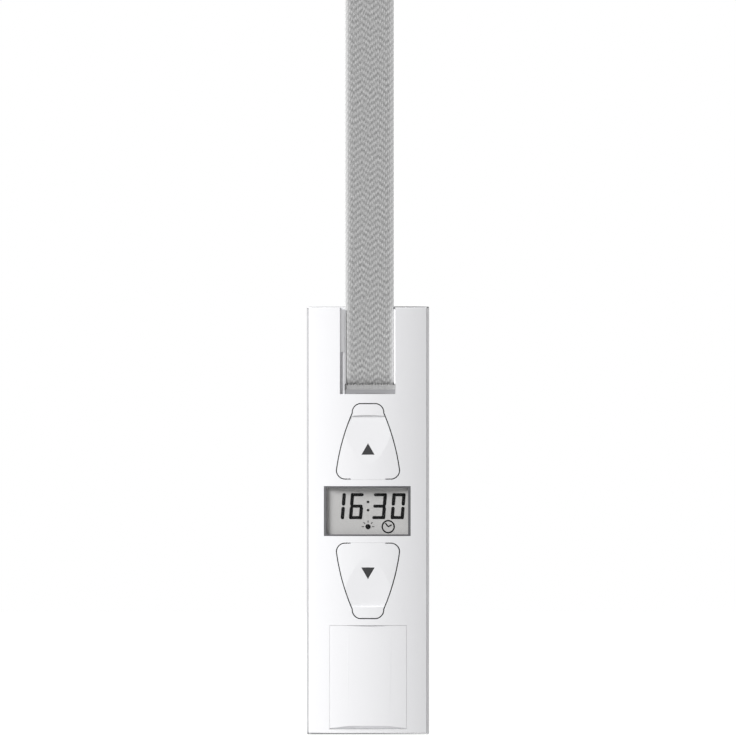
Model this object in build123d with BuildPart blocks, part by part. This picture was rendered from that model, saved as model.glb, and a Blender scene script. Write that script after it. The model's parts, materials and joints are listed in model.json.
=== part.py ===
from build123d import *
import os
from math import acos, atan2, cos, degrees, hypot, pi, radians, sin, sqrt, tan

# Electric roller shutter belt winder, in millimetres.
# X runs to the right, Y into the wall and Z up. The origin lies on the wall face,
# halfway between the two wall screws. A depth is measured from the wall towards the room.

os.makedirs("parts", exist_ok=True)

# Shared by all pieces
seat_gap = 0.01
screw_gap = 0.2
close_screw_gap = 0.1
join = 0.4
screw_slot_length = 3.5
screw_slot_width = 0.6
screw_slot_depth = 0.6

# Belt
belt_width = 23.0
belt_thickness = 1.3
belt_x = 0.6
belt_front_depth = 15.2
belt_clearance = 0.3
belt_side_clearance = 0.3

# Front cover
cover_width = 58.0
cover_depth = 18.0
cover_bow = 4.0
cover_wall = 2.2
cover_rim_gap = 0.3
cover_corner_radius = 1.4
cover_edge_radius = 0.7

# Belt slot in the cover
slot_left_gap = 2.4
slot_right_gap = 0.8
slot_length = 41.5
slot_window_height = 19.8
slot_floor_depth = 13.5
slot_wall = 1.6

# Display
display_x = -0.35
display_width = 41.0
display_height = 23.6
bezel_side_border = 1.2
bezel_end_border = 0.75
bezel_crown_drop = 0.2
bezel_ear = 2.4
bezel_ear_gap = 0.05
bezel_ear_thickness = 1.0
display_fit = 0.1
lens_front_depth = 15.6
lens_thickness = 1.2
lens_lip = 0.45
lcd_gap = 0.2
lcd_thickness = 1.8
contact_strip_thickness = 2.0
contact_strip_inset = 1.4

# Up and down keys
key_slot_gap = 4.8
key_start = 15.4
key_length = 35.2
key_wide = 29.4
key_wide_corner = 3.9
key_shoulder = 14.4
key_narrow = 7.8
key_shoulder_drop = 4.2
key_side_bulge = 1.0
key_gap = 0.5
key_thickness = 2.6
key_tongue = 16.5
key_tongue_gap = 0.05
key_scoop_depth = 1.0
key_scoop_start = 7.0
key_lip = 5.2
key_lip_bow = 1.3
key_arm_x = 9.0
key_arm_width = 2.0
key_arm_length = 6.9
key_hinge_offset = 1.7
key_hinge_depth = 13.8
key_pin_radius = 0.8
key_arm_radius = 1.25
key_post_offset = 24.0
key_post_radius = 2.2
key_bracket_width = 2.0
key_bracket_height = 2.8
key_bracket_reach = 1.5
key_arm_gap = 0.3
key_pin_overhang = 0.4
key_web_thickness = 1.5
key_post_root = 0.5
key_shoulder_side = 0.3
key_shoulder_rise = 0.7
arrow_width = 6.2
arrow_height = 5.4
arrow_offset = 14.0
arrow_thickness = 0.8

# Push switches on the control board
switch_size = 6.0
key_switch_height = 3.5
key_switch_floor = 0.5
key_plunger_radius = 1.75
key_plunger_height = 1.0
plunger_travel = 0.5
plunger_tip_gap = 0.1
plunger_end_gap = 0.1
plunger_rounding = 0.2
set_switch_height = 1.8
set_plunger_radius = 1.5
set_plunger_height = 0.6
set_plunger_length = 1.2
set_plunger_travel = 0.3
plunger_pocket_gap = 0.5
plunger_clearance = 0.05

# Service flap and the panel behind it
flap_width = 36.0
flap_height = 45.2
flap_key_gap = 3.7
flap_thickness = 1.8
flap_gap = 0.25
flap_axis_height = 6.6
flap_axis_depth = 14.6
flap_heel_radius = 3.7
flap_heel_gap = 0.25
flap_hub_radius = 2.0
flap_pin_radius = 0.9
flap_pin_length = 4.6
flap_pin_end_gap = 0.1
flap_ear_width = 2.5
flap_ear_height = 4.4
flap_groove_radius = 3.5
flap_groove_depth = 0.6
panel_depth = 12.8
panel_thickness = 1.2
panel_wall = 1.4
panel_end_gap = 2.4
set_button_count = 3
set_button_pitch = 11.0
set_button_inset = 9.3
set_button_radius = 2.9
set_button_height = 1.4
set_button_flange_radius = 3.6
set_button_flange = 0.8
set_button_flange_gap = 0.1
set_button_rounding = 0.5
set_button_clearance = 0.2

# Control board
board_front_depth = 8.2
board_thickness = 1.6
board_rail_gap = 0.5
board_top_margin = 12.0
board_bottom_margin = 5.0
board_screw_side_inset = 3.0
board_screw_inset = 5.0
board_screw_radius = 1.25
board_screw_head_radius = 2.4
board_screw_head = 1.5
board_screw_end_depth = 3.0
board_screw_tip_gap = 2.0
board_corner_radius = 2.0
standoff_radius = 3.0
control_chip_layout = (
    (-9.0, 17.4, 12.0, 12.0, 1.4),
    (11.0, 19.4, 8.0, 6.0, 1.5),
    (9.0, 3.4, 11.0, 4.6, 3.0),
    (-12.0, -26.6, 6.0, 5.0, 1.5),
    (12.0, -34.6, 10.0, 10.0, 2.6),
)

# Mounting plate
plate_side_gap = 0.8
plate_end_gap = 0.5
plate_thickness = 2.5
plate_corner_radius = 2.0
wall_screw_inset = 6.3
wall_slot_width = 4.5
wall_slot_length = 8.0
plate_screw_radius = 1.5
plate_screw_head_radius = 2.9
plate_screw_x = 14.0
plate_screw_upper_inset = 34.0
plate_screw_lower_inset = 6.0
plate_screw_length = 12.0
plate_screw_head = 1.5
plate_screw_boss_wall = 1.6
plate_screw_tip_gap = 0.5
plate_screw_boss_floor = 1.5
rail_thickness = 1.6
rail_height = 7.0
rail_length = 16.0
rail_inset = 28.8
rail_ridge = 0.2
hook_overlap = 0.3
hook_clearance = 0.3
hook_height = 1.0

# Guide rollers, one in the winder and one at the shutter box
roller_radius = 6.2
roller_flange_height = 0.9
roller_flange_thickness = 0.8
roller_height = 9.0
roller_axle_radius = 1.5
roller_side_gap = 0.3
ear_thickness = 2.0
ear_radius = 3.2
running_clearance = 0.05
box_guide_z = 280.0
box_guide_height = 58.0
box_guide_width = 44.0
box_guide_plate_thickness = 3.0
box_guide_hood_wall = 1.6
box_guide_hood_gap = 2.2
box_guide_hood_side_gap = 0.6
box_guide_hood_end = 5.0
box_guide_hood_rounding = 3.0
box_guide_hood_edge = 1.2
box_guide_corner_radius = 4.0
box_guide_window_gap = 1.5
box_guide_screw_inset = 6.0
box_guide_screw_radius = 2.2
belt_wall_entry = 6.0

# Housing in the wall
housing_wall = 2.0
housing_corner_radius = 10.0
lid_screw_radius = 1.25
lid_screw_head_radius = 2.6
lid_screw_head = 1.6
lid_screw_length = 12.0
lid_boss_radius = 3.4
lid_screw_inset = 6.0
lid_screw_front_y = 17.0
lid_screw_back_inset = 10.0
lid_middle_screw_front_y = 5.6
lid_middle_screw_front_z = -22.0
lid_middle_screw_back_inset = 6.4
lid_middle_screw_back_z = -12.0
belt_window_drop = 12.0
cable_window_width = 16.0
cable_window_height = 8.0
cable_window_inset = 14.0
inlet_y = 30.0
cable_bore_radius = 3.5
grommet_radius = 6.0
grommet_flange = 1.5
grommet_flange_radius = 8.0

# Reel
reel_front_gap = 10.0
reel_back_gap = 4.0
reel_top_gap = 2.0
reel_side_gap = 1.1
reel_flange_rim = 0.5
reel_flange_thickness = 1.5
reel_hub_radius = 15.5
reel_hub_wall = 2.0
reel_bore_tube_radius = 7.5
reel_axle_radius = 4.0
reel_bush_wall = 1.5
reel_bush_length = 7.0
reel_bush_flange = 0.8
reel_bush_flange_radius = 7.2
reel_rib_count = 6
reel_rib_width = 2.4
reel_window_count = 6
reel_window_radius = 8.5
reel_window_circle = 33.0
reel_end_gap = 0.3
reel_screw_radius = 1.25
reel_screw_circle = 10.5
reel_screw_count = 3
reel_screw_length = 7.0
reel_screw_head = 1.5
reel_screw_boss_radius = 2.6
axle_wall_seat = 1.6

# Wound belt
coil_turns = 12
coil_gap = 0.5
coil_hub_gap = 0.3
coil_run_gap = 0.35

# Gears
gear_module = 1.5
reel_teeth = 64
pinion_teeth = 25
gear_width = 4.0
pinion_width = 3.5
gear_backlash = 0.25
gear_centre_gap = 0.1
gear_side_gap = 0.2
idler_y = 32.0
idler_axle_radius = 3.0
idler_sleeve_wall = 2.0
worm_module = 1.0
worm_wheel_teeth = 30
worm_wheel_width = 7.0
worm_pitch_radius = 5.0
worm_turns = 7
worm_thinning = 0.25
worm_shoulder = 1.3
worm_crest_gap = 0.05
worm_shaft_radius = 2.0
worm_bearing_radius = 4.0
worm_bearing_length = 4.0
front_bearing_y = 12.0
rear_bearing_y = 46.5
rib_wall = 2.2
rib_drop = 0.3
rib_gear_gap = 0.5

# Motor
motor_radius = 15.0
motor_front_y = 58.0
motor_length = 46.0
motor_cap_length = 6.0
motor_cap_rounding = 1.5
motor_shaft_end_gap = 0.2
motor_can_wall = 1.0
motor_plate_thickness = 2.5
motor_boss_radius = 5.0
magnet_thickness = 3.0
armature_gap = 0.6
armature_length = 30.0
armature_slot_count = 5
armature_slot_length = 8.0
armature_slot_width = 2.4
armature_slot_inset = 2.0
motor_screw_circle = 8.0
motor_screw_radius = 1.5
motor_screw_head = 1.5
motor_screw_head_radius = 2.7
motor_bracket_gap = 0.2
motor_bracket_rise = 1.0
motor_floor_gap = 8.2

# Power supply
power_board_gap = 1.3
power_board_thickness = 1.6
power_board_front = 62.0
power_board_back = 110.0
power_board_width = 34.0
transformer_size = 12.0
transformer_length = 17.0
transformer_rounding = 0.8
transformer_y = 97.0
capacitor_gap = 6.0
capacitor_radius = 4.0
capacitor_height = 9.0
capacitor_places = (-6.0, 5.0)
terminal_block_y = 62.0
terminal_block_length = 10.0
terminal_block_width = 24.0
terminal_block_height = 7.0
terminal_pitch = 8.0
terminal_wire_radius = 1.6
terminal_screw_radius = 1.8


def side_plane(x):
    """Plane at x that faces right; its own axes are Y and Z."""
    return Plane.YZ.offset(x)


def room_plane(depth):
    """Plane that faces the room at a depth in front of the wall; its own axes are X and Z."""
    return Plane.XZ.offset(depth)


def slab(low, high, mode=Mode.ADD):
    """Box between two opposite corners."""
    with Locations(tuple((a + b) / 2 for a, b in zip(low, high))):
        Box(*(abs(b - a) for a, b in zip(low, high)), mode=mode)


def bar_x(y, z, start, end, radius, mode=Mode.ADD):
    """Round bar along X."""
    with Locations(((start + end) / 2, y, z)):
        Cylinder(radius, abs(end - start), rotation=(0, 90, 0), mode=mode)


def bar_y(x, z, start, end, radius, mode=Mode.ADD):
    """Round bar along Y."""
    with Locations((x, (start + end) / 2, z)):
        Cylinder(radius, abs(end - start), rotation=(90, 0, 0), mode=mode)


def bar_z(x, y, start, end, radius, mode=Mode.ADD):
    """Round bar along Z."""
    with Locations((x, y, (start + end) / 2)):
        Cylinder(radius, abs(end - start), mode=mode)


bow_radius = (cover_width / 2) ** 2 / (2 * cover_bow) + cover_bow / 2


def bow_depth(x, crown):
    """Depth at x of a surface that runs along the cover's bow and is crown deep in the middle."""
    radius = bow_radius - cover_depth + crown
    return crown - radius + sqrt(radius**2 - x**2)


def bowed_section(half_width, crown, back):
    """Closed outline in X and Y with a bowed front and a flat back."""
    edge = -bow_depth(half_width, crown)
    ThreePointArc((-half_width, edge), (0, -crown), (half_width, edge))
    Polyline((half_width, edge), (half_width, -back), (-half_width, -back), (-half_width, edge))


def bowed_sheet_section(half_width, crown, thickness):
    """Closed outline in X and Y of a sheet that follows the cover's bow."""
    front = -bow_depth(half_width, crown)
    back = -bow_depth(half_width, crown - thickness)
    ThreePointArc((-half_width, front), (0, -crown), (half_width, front))
    Line((half_width, front), (half_width, back))
    ThreePointArc((half_width, back), (0, thickness - crown), (-half_width, back))
    Line((-half_width, back), (-half_width, front))


# Heights of the front, stacked from the top: slot, up key, display, down key, flap and foot
cover_height = (slot_length + key_slot_gap + 2 * (key_length + key_start) + flap_key_gap + flap_height
                + flap_axis_height)
cover_half = cover_height / 2
slot_bottom = cover_half - slot_length
display_z = slot_bottom - key_slot_gap - key_length - key_start
key_z = display_z + key_start
key_hinge_z = key_z - key_hinge_offset
key_post_z = key_z + key_post_offset
flap_top = display_z - key_start - key_length - flap_key_gap
flap_axis_z = flap_top - flap_height
panel_bottom = flap_axis_z + panel_end_gap
set_button_places = [flap_top - set_button_inset - i * set_button_pitch for i in range(set_button_count)]
key_switch_places = (key_post_z, 2 * display_z - key_post_z)
board_top = key_post_z + board_top_margin
board_bottom = set_button_places[-1] - board_bottom_margin
roller_z = slot_bottom + roller_height

# Widths of the front
slot_left = belt_x - belt_width / 2 - slot_left_gap
slot_right = belt_x + belt_width / 2 + slot_right_gap
cover_inner_half = cover_width / 2 - cover_wall
plate_width = 2 * (cover_inner_half - plate_side_gap)
plate_height = cover_height - 2 * (cover_wall + plate_end_gap)
wall_screw_spacing = plate_height - 2 * wall_screw_inset
rail_outer = plate_width / 2 + rail_ridge
rail_body = rail_outer - hook_overlap - hook_clearance
rail_z = plate_height / 2 - rail_inset
board_width = 2 * (rail_body - rail_thickness - board_rail_gap)
board_screw_x = board_width / 2 - board_screw_side_inset
flap_half = flap_width / 2
flap_opening_half = flap_half + flap_gap
flap_cut_radius = flap_heel_radius + flap_heel_gap

# Depths of the front
board_back_depth = board_front_depth - board_thickness
key_back_depth = cover_depth - key_thickness
key_switch_front = board_front_depth + key_switch_height
key_plunger_tip = key_switch_front + key_plunger_height
set_plunger_tip = board_front_depth + set_switch_height + set_plunger_height
recess_back = panel_depth - panel_thickness
bezel_ear_end = abs(display_x) + display_width / 2 - display_fit + bezel_ear
bezel_ear_depth = bow_depth(bezel_ear_end, cover_depth - cover_wall) - bezel_ear_gap
bezel_back_depth = bezel_ear_depth - bezel_ear_thickness

# Housing, which follows the reel, the gears and the motor
reel_flange_radius = gear_module * (reel_teeth / 2 + 1) + reel_flange_rim
reel_left = belt_x - belt_width / 2 - belt_side_clearance - gear_side_gap
reel_right = belt_x + belt_width / 2 + belt_side_clearance + gear_side_gap
gear_right = reel_left - reel_flange_thickness
gear_left = gear_right - gear_width
inner_wall = reel_side_gap - gear_left
housing_right = inner_wall + housing_wall
housing_left = -housing_right
housing_depth = reel_front_gap + 2 * reel_flange_radius + reel_back_gap + housing_wall
reel_y = reel_front_gap + reel_flange_radius
gear_distance = gear_module * (reel_teeth + pinion_teeth) / 2 + gear_centre_gap
wheel_pitch_radius = worm_module * worm_wheel_teeth / 2
idler_drop = sqrt(gear_distance**2 - (reel_y - idler_y) ** 2)
worm_drop = wheel_pitch_radius + worm_pitch_radius + gear_centre_gap
housing_height = (2 * housing_wall + reel_top_gap + reel_flange_radius + idler_drop + worm_drop + motor_radius
                  + motor_floor_gap)
housing_floor = housing_wall - housing_height / 2
reel_z = housing_height / 2 - housing_wall - reel_top_gap - reel_flange_radius
idler_z = reel_z - idler_drop
worm_z = idler_z - worm_drop
plate_screw_upper_z = housing_height / 2 - plate_screw_upper_inset
plate_screw_lower_z = plate_screw_lower_inset - housing_height / 2
cable_window_z = cable_window_inset - housing_height / 2
belt_window_bottom = roller_z - belt_window_drop


def key_outline():
    """Closed outline of the upper key in X and Z: a bell, wide at the end next to the display."""
    wide = key_wide / 2
    shoulder = key_shoulder / 2
    narrow = key_narrow / 2
    low = key_z + key_wide_corner
    high = key_z + key_length - key_shoulder_drop
    top = key_z + key_length
    middle = ((wide + shoulder) / 2 + key_side_bulge, (low + high) / 2)
    corner = key_wide_corner * (1 - sqrt(0.5))
    rounding = (shoulder - (shoulder - narrow) * key_shoulder_side,
                high + key_shoulder_drop * key_shoulder_rise)
    foot = (wide - key_wide_corner, key_z)
    Line((-foot[0], foot[1]), foot)
    for s in (1, -1):
        ThreePointArc((s * foot[0], foot[1]), (s * (wide - corner), key_z + corner), (s * wide, low))
        ThreePointArc((s * wide, low), (s * middle[0], middle[1]), (s * shoulder, high))
        ThreePointArc((s * shoulder, high), (s * rounding[0], rounding[1]), (s * narrow, top))
    Line((narrow, top), (-narrow, top))


# Shape that each key opening cuts out of the cover, with an even gap round the key
with BuildPart() as key_hole:
    with BuildSketch(room_plane(key_back_depth - 4)):
        with BuildLine():
            key_outline()
        make_face()
        offset(amount=key_gap)
    extrude(amount=key_thickness + 6)

# Front cover: bowed shell with the belt slot, key and display openings and the flap recess
with BuildPart() as front_cover:
    with BuildSketch(Plane.XY.offset(-cover_half)):
        with BuildLine():
            bowed_section(cover_width / 2, cover_depth, cover_rim_gap)
        make_face()
    extrude(amount=cover_height)
    front_corners = front_cover.edges().filter_by(Axis.Z).group_by(Axis.Y)[0]
    fillet(front_corners, cover_corner_radius)
    for end in (front_cover.faces().sort_by(Axis.Z)[-1], front_cover.faces().sort_by(Axis.Z)[0]):
        fillet(end.edges().sort_by(Axis.Y)[:-3], cover_edge_radius)
    with BuildSketch(Plane.XY.offset(cover_wall - cover_half)):
        with BuildLine():
            bowed_section(cover_inner_half, cover_depth - cover_wall, cover_rim_gap - 1)
        make_face()
    extrude(amount=cover_height - 2 * cover_wall, mode=Mode.SUBTRACT)
    # Belt slot with its floor and side walls
    floor_back = slot_floor_depth - slot_wall
    slab(
        (slot_left - slot_wall, slot_wall - cover_depth, slot_bottom + slot_window_height - slot_wall),
        (slot_right + slot_wall, -floor_back, cover_half - cover_edge_radius),
    )
    slab((slot_left, -cover_depth - 1, slot_bottom), (slot_right, -slot_floor_depth, cover_half + 1),
         mode=Mode.SUBTRACT)
    # Brackets that hold the key hinge pins, between the display and each key
    for s in (1, -1):
        inner = key_arm_x + key_arm_width / 2 + key_arm_gap
        for x in (inner, -inner - key_bracket_width):
            z = display_z + s * (key_hinge_z - display_z)
            slab((x, -key_back_depth - join, z - key_bracket_height / 2),
                 (x + key_bracket_width, key_bracket_reach - key_hinge_depth, z + key_bracket_height / 2))
            bar_x(-key_hinge_depth, z, x - 1, x + key_bracket_width + 1, key_pin_radius + seat_gap,
                  mode=Mode.SUBTRACT)
    # Display opening
    display_half = (display_width / 2, display_height / 2)
    slab((display_x - display_half[0], -cover_depth - 1, display_z - display_half[1]),
         (display_x + display_half[0], -bezel_back_depth, display_z + display_half[1]), mode=Mode.SUBTRACT)
    # Flap recess: side and top walls, the panel with button holes and the ears of the flap hinge
    recess_half = flap_opening_half + panel_wall
    for x in (-recess_half, flap_opening_half):
        front = bow_depth(recess_half, cover_depth - cover_wall) + join
        slab((x, -front, panel_bottom), (x + panel_wall, -recess_back, flap_top + flap_gap + panel_wall))
    with BuildSketch(Plane.XY.offset(flap_top + flap_gap)):
        with BuildLine():
            bowed_section(recess_half, cover_depth - cover_wall + join, recess_back)
        make_face()
    extrude(amount=panel_wall)
    slab((-recess_half, -panel_depth, panel_bottom), (recess_half, -recess_back, flap_top + panel_wall))
    for x in (flap_opening_half, -flap_opening_half - flap_ear_width):
        front = bow_depth(flap_opening_half + flap_ear_width, cover_depth - cover_wall) + join
        slab((x, -front, flap_axis_z - flap_ear_height / 2),
             (x + flap_ear_width, join - panel_depth, flap_axis_z + flap_ear_height / 2))
    with BuildSketch(room_plane(panel_depth)):
        with Locations((0, (flap_top + flap_gap + flap_axis_z) / 2)):
            Rectangle(2 * flap_opening_half, flap_top + flap_gap - flap_axis_z)
    extrude(amount=cover_depth, mode=Mode.SUBTRACT)
    bar_x(-flap_axis_depth, flap_axis_z, -flap_opening_half, flap_opening_half, flap_cut_radius,
          mode=Mode.SUBTRACT)
    slab((-flap_opening_half, -cover_depth - 1, flap_axis_z - flap_cut_radius),
         (flap_opening_half, -flap_axis_depth, flap_axis_z), mode=Mode.SUBTRACT)
    bar_x(-flap_axis_depth, flap_axis_z, -flap_half - flap_ear_width, flap_half + flap_ear_width,
          flap_pin_radius + running_clearance, mode=Mode.SUBTRACT)
    for z in set_button_places:
        bar_y(0, z, -panel_depth - 1, 1 - recess_back, set_button_radius + set_button_clearance,
              mode=Mode.SUBTRACT)
    # Hooks that snap behind the rails of the mounting plate
    hook_front = hook_height + hook_clearance - plate_thickness - rail_height
    hook_reach = cover_inner_half - rail_outer + hook_overlap
    for x, reach in ((cover_inner_half, -hook_reach), (-cover_inner_half, hook_reach)):
        for z in (rail_z, -rail_z):
            slab((x, hook_front, z - rail_length / 3),
                 (x + reach, hook_front + hook_height, z + rail_length / 3))
    add(key_hole.part, mode=Mode.SUBTRACT)
    add(key_hole.part.mirror(Plane.XY.offset(display_z)), mode=Mode.SUBTRACT)
front_cover.part.label = "front_cover"
export_step(front_cover.part, "parts/front_cover.step")

# Service flap: a bowed sheet with a heel that turns inside the cover, and a groove for a fingernail
with BuildPart() as service_flap:
    with BuildSketch(Plane.XY.offset(flap_axis_z)):
        with BuildLine():
            bowed_sheet_section(flap_half, cover_depth, flap_thickness)
        make_face()
    extrude(amount=flap_top - flap_axis_z)
    bar_x(-flap_axis_depth, flap_axis_z, -flap_half, flap_half, flap_hub_radius)
    with BuildSketch(side_plane(-flap_half)):
        with BuildLine():
            axis_point = (-flap_axis_depth, flap_axis_z)
            heel_front = (-flap_axis_depth - flap_heel_radius, flap_axis_z)
            heel_foot = (-flap_axis_depth, flap_axis_z - flap_heel_radius)
            heel_middle = (axis_point[0] - flap_heel_radius * sqrt(0.5),
                           axis_point[1] - flap_heel_radius * sqrt(0.5))
            ThreePointArc(heel_front, heel_middle, heel_foot)
            Polyline(heel_foot, axis_point, heel_front)
        make_face()
    extrude(amount=flap_width)
    with BuildSketch(Plane.XY.offset(flap_axis_z - flap_heel_radius)):
        with BuildLine():
            bowed_section(flap_half, cover_depth, flap_axis_depth - flap_heel_radius)
        make_face()
    extrude(amount=flap_top - flap_axis_z + flap_heel_radius, mode=Mode.INTERSECT)
    bar_x(-cover_depth + flap_groove_depth - flap_groove_radius, flap_top, -flap_half, flap_half,
          flap_groove_radius, mode=Mode.SUBTRACT)
    bar_x(-flap_axis_depth, flap_axis_z, -flap_half - 1, flap_half + 1, flap_pin_radius + seat_gap,
          mode=Mode.SUBTRACT)
service_flap.part.label = "service_flap"
export_step(service_flap.part, "parts/service_flap.step")

with BuildPart() as flap_hinge_pins:
    pin_end = flap_half + flap_ear_width - flap_pin_end_gap
    for s in (1, -1):
        bar_x(-flap_axis_depth, flap_axis_z, s * pin_end, s * (pin_end - flap_pin_length), flap_pin_radius)
flap_hinge_pins.part.label = "flap_hinge_pins"
export_step(flap_hinge_pins.part, "parts/flap_hinge_pins.step")

# Finger scoop: a wedge that ends at the key's raised lip
with BuildPart() as key_scoop:
    lip_z = key_z + key_length - key_lip
    with BuildSketch(side_plane(-key_wide / 2)):
        with BuildLine():
            Polyline((-cover_depth, key_z + key_scoop_start), (key_scoop_depth - cover_depth, lip_z + 2),
                     (-cover_depth - 1, lip_z + 2), (-cover_depth - 1, key_z + key_scoop_start), close=True)
        make_face()
    extrude(amount=key_wide)
    with BuildSketch(room_plane(key_back_depth)):
        with BuildLine():
            low_z = key_z + 1
            Polyline((-key_wide / 2, lip_z - key_lip_bow), (-key_wide / 2, low_z), (key_wide / 2, low_z),
                     (key_wide / 2, lip_z - key_lip_bow))
            ThreePointArc((key_wide / 2, lip_z - key_lip_bow), (0, lip_z), (-key_wide / 2, lip_z - key_lip_bow))
        make_face()
    extrude(amount=key_thickness + 2, mode=Mode.INTERSECT)

# Prism that cuts the arrow's pocket out of the key
with BuildPart() as arrow_prism:
    with BuildSketch(room_plane(cover_depth - key_scoop_depth / 2 - arrow_thickness)):
        with BuildLine():
            arrow_z = key_z + arrow_offset - arrow_height / 2
            Polyline((-arrow_width / 2, arrow_z), (arrow_width / 2, arrow_z), (0, arrow_z + arrow_height),
                     close=True)
        make_face()
    extrude(amount=key_scoop_depth + arrow_thickness)

# Upper key without its arrow: bell shaped cap, hinge arms behind the cover and the switch post
with BuildPart() as blank_key:
    with BuildSketch(room_plane(key_back_depth)):
        with BuildLine():
            key_outline()
        make_face()
        with Locations((0, key_z + (key_tongue_gap - key_gap + 1) / 2)):
            Rectangle(key_tongue, key_gap - key_tongue_gap + 1)
    extrude(amount=key_thickness + 1)
    with BuildSketch(Plane.XY.offset(key_z - 1)):
        with BuildLine():
            bowed_section(key_wide / 2 + 1, cover_depth, key_back_depth)
        make_face()
    extrude(amount=key_length + 2, mode=Mode.INTERSECT)
    add(key_scoop.part, mode=Mode.SUBTRACT)
    for s in (1, -1):
        low_x = s * key_arm_x - key_arm_width / 2
        with BuildSketch(side_plane(low_x)):
            with Locations((-key_hinge_depth, key_hinge_z)):
                Circle(key_arm_radius)
            with Locations((-key_hinge_depth, key_hinge_z + key_arm_length / 2)):
                Rectangle(2 * key_arm_radius, key_arm_length)
            with Locations((-key_back_depth, key_hinge_z + (key_arm_length + key_hinge_offset + 1) / 2)):
                Rectangle(key_web_thickness, key_arm_length - key_hinge_offset - 1)
        extrude(amount=key_arm_width)
        bar_x(-key_hinge_depth, key_hinge_z, low_x - 1, low_x + key_arm_width + 1,
              key_pin_radius + running_clearance, mode=Mode.SUBTRACT)
    bar_y(0, key_post_z, -key_plunger_tip - plunger_tip_gap, -key_back_depth - key_post_root, key_post_radius)

with BuildPart() as up_key:
    add(blank_key.part)
    add(arrow_prism.part, mode=Mode.SUBTRACT)
up_key.part.label = "up_key"
export_step(up_key.part, "parts/up_key.step")

with BuildPart() as up_arrow:
    add(blank_key.part)
    add(arrow_prism.part, mode=Mode.INTERSECT)
up_arrow.part.label = "up_arrow"
export_step(up_arrow.part, "parts/up_arrow.step")

# The lower key is the upper one mirrored about the middle of the display
display_mirror = Plane.XY.offset(display_z)
with BuildPart() as down_key:
    add(up_key.part.mirror(display_mirror))
down_key.part.label = "down_key"
export_step(down_key.part, "parts/down_key.step")

with BuildPart() as down_arrow:
    add(up_arrow.part.mirror(display_mirror))
down_arrow.part.label = "down_arrow"
export_step(down_arrow.part, "parts/down_arrow.step")

with BuildPart() as key_hinge_pins:
    for s in (1, -1):
        z = display_z + s * (key_hinge_z - display_z)
        inner = key_arm_x - key_arm_width / 2 - key_pin_overhang
        outer = key_arm_x + key_arm_width / 2 + key_arm_gap + key_bracket_width
        bar_x(-key_hinge_depth, z, inner, outer, key_pin_radius)
        bar_x(-key_hinge_depth, z, -inner, -outer, key_pin_radius)
key_hinge_pins.part.label = "key_hinge_pins"
export_step(key_hinge_pins.part, "parts/key_hinge_pins.step")

# Push switches: two tall ones under the keys and a row of low ones under the set buttons
with BuildPart() as push_switches:
    half = switch_size / 2
    for z in key_switch_places:
        slab((-half, -key_switch_front, z - half), (half, -board_front_depth, z + half))
        bar_y(0, z, -key_switch_front - 1, -key_switch_front + key_switch_height - key_switch_floor,
              key_plunger_radius + plunger_clearance, mode=Mode.SUBTRACT)
    for z in set_button_places:
        front = board_front_depth + set_switch_height
        pocket_end = set_plunger_length + set_plunger_travel + plunger_pocket_gap - set_plunger_tip
        slab((-half, -front, z - half), (half, -board_front_depth, z + half))
        bar_y(0, z, -front - 1, pocket_end, set_plunger_radius + plunger_clearance, mode=Mode.SUBTRACT)
push_switches.part.label = "push_switches"
export_step(push_switches.part, "parts/push_switches.step")

for key_name, z in zip(("up", "down"), key_switch_places):
    with BuildPart() as key_plunger:
        inner_length = key_switch_height - key_switch_floor - plunger_end_gap - plunger_travel
        plunger_length = key_plunger_height + inner_length
        bar_y(0, z, -key_plunger_tip, plunger_length - key_plunger_tip, key_plunger_radius)
        fillet(key_plunger.edges().sort_by(Axis.Y)[0], plunger_rounding)
    key_plunger.part.label = f"{key_name}_switch_plunger"
    export_step(key_plunger.part, f"parts/{key_name}_switch_plunger.step")

# Set buttons: a cap held by its flange behind the panel, and the plunger that it presses
for i, z in enumerate(set_button_places):
    with BuildPart() as set_button:
        flange_front = set_button_flange_gap - recess_back
        bar_y(0, z, -panel_depth - set_button_height, flange_front + seat_gap, set_button_radius)
        fillet(set_button.edges().sort_by(Axis.Y)[0], set_button_rounding)
        bar_y(0, z, flange_front, flange_front + set_button_flange, set_button_flange_radius)
        bar_y(0, z, -set_plunger_tip, set_plunger_length - set_plunger_tip, set_plunger_radius)
    set_button.part.label = f"set_button_{i + 1}"
    export_step(set_button.part, f"parts/set_button_{i + 1}.step")

# Display: frame, window, liquid crystal glass and its two contact strips
with BuildPart() as display_bezel:
    outer = (display_width / 2 - display_fit, display_height / 2 - display_fit)
    window = (display_width / 2 - bezel_side_border, display_height / 2 - bezel_end_border)
    pocket = (window[0] + lens_lip, window[1] + lens_lip * 0.7)
    slab((display_x - outer[0], -cover_depth, display_z - outer[1]),
         (display_x + outer[0], -bezel_back_depth, display_z + outer[1]))
    with BuildSketch(Plane.XY.offset(display_z - outer[1])):
        with BuildLine():
            bowed_section(cover_inner_half, cover_depth - bezel_crown_drop, bezel_back_depth)
        make_face()
    extrude(amount=2 * outer[1], mode=Mode.INTERSECT)
    slab((display_x - outer[0] - bezel_ear, -bezel_ear_depth, display_z - outer[1]),
         (display_x + outer[0] + bezel_ear, -bezel_back_depth, display_z + outer[1]))
    slab((display_x - window[0], -cover_depth - 1, display_z - window[1]),
         (display_x + window[0], 0, display_z + window[1]), mode=Mode.SUBTRACT)
    slab((display_x - pocket[0], -lens_front_depth, display_z - pocket[1]),
         (display_x + pocket[0], 0, display_z + pocket[1]), mode=Mode.SUBTRACT)
display_bezel.part.label = "display_bezel"
export_step(display_bezel.part, "parts/display_bezel.step")

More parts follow.
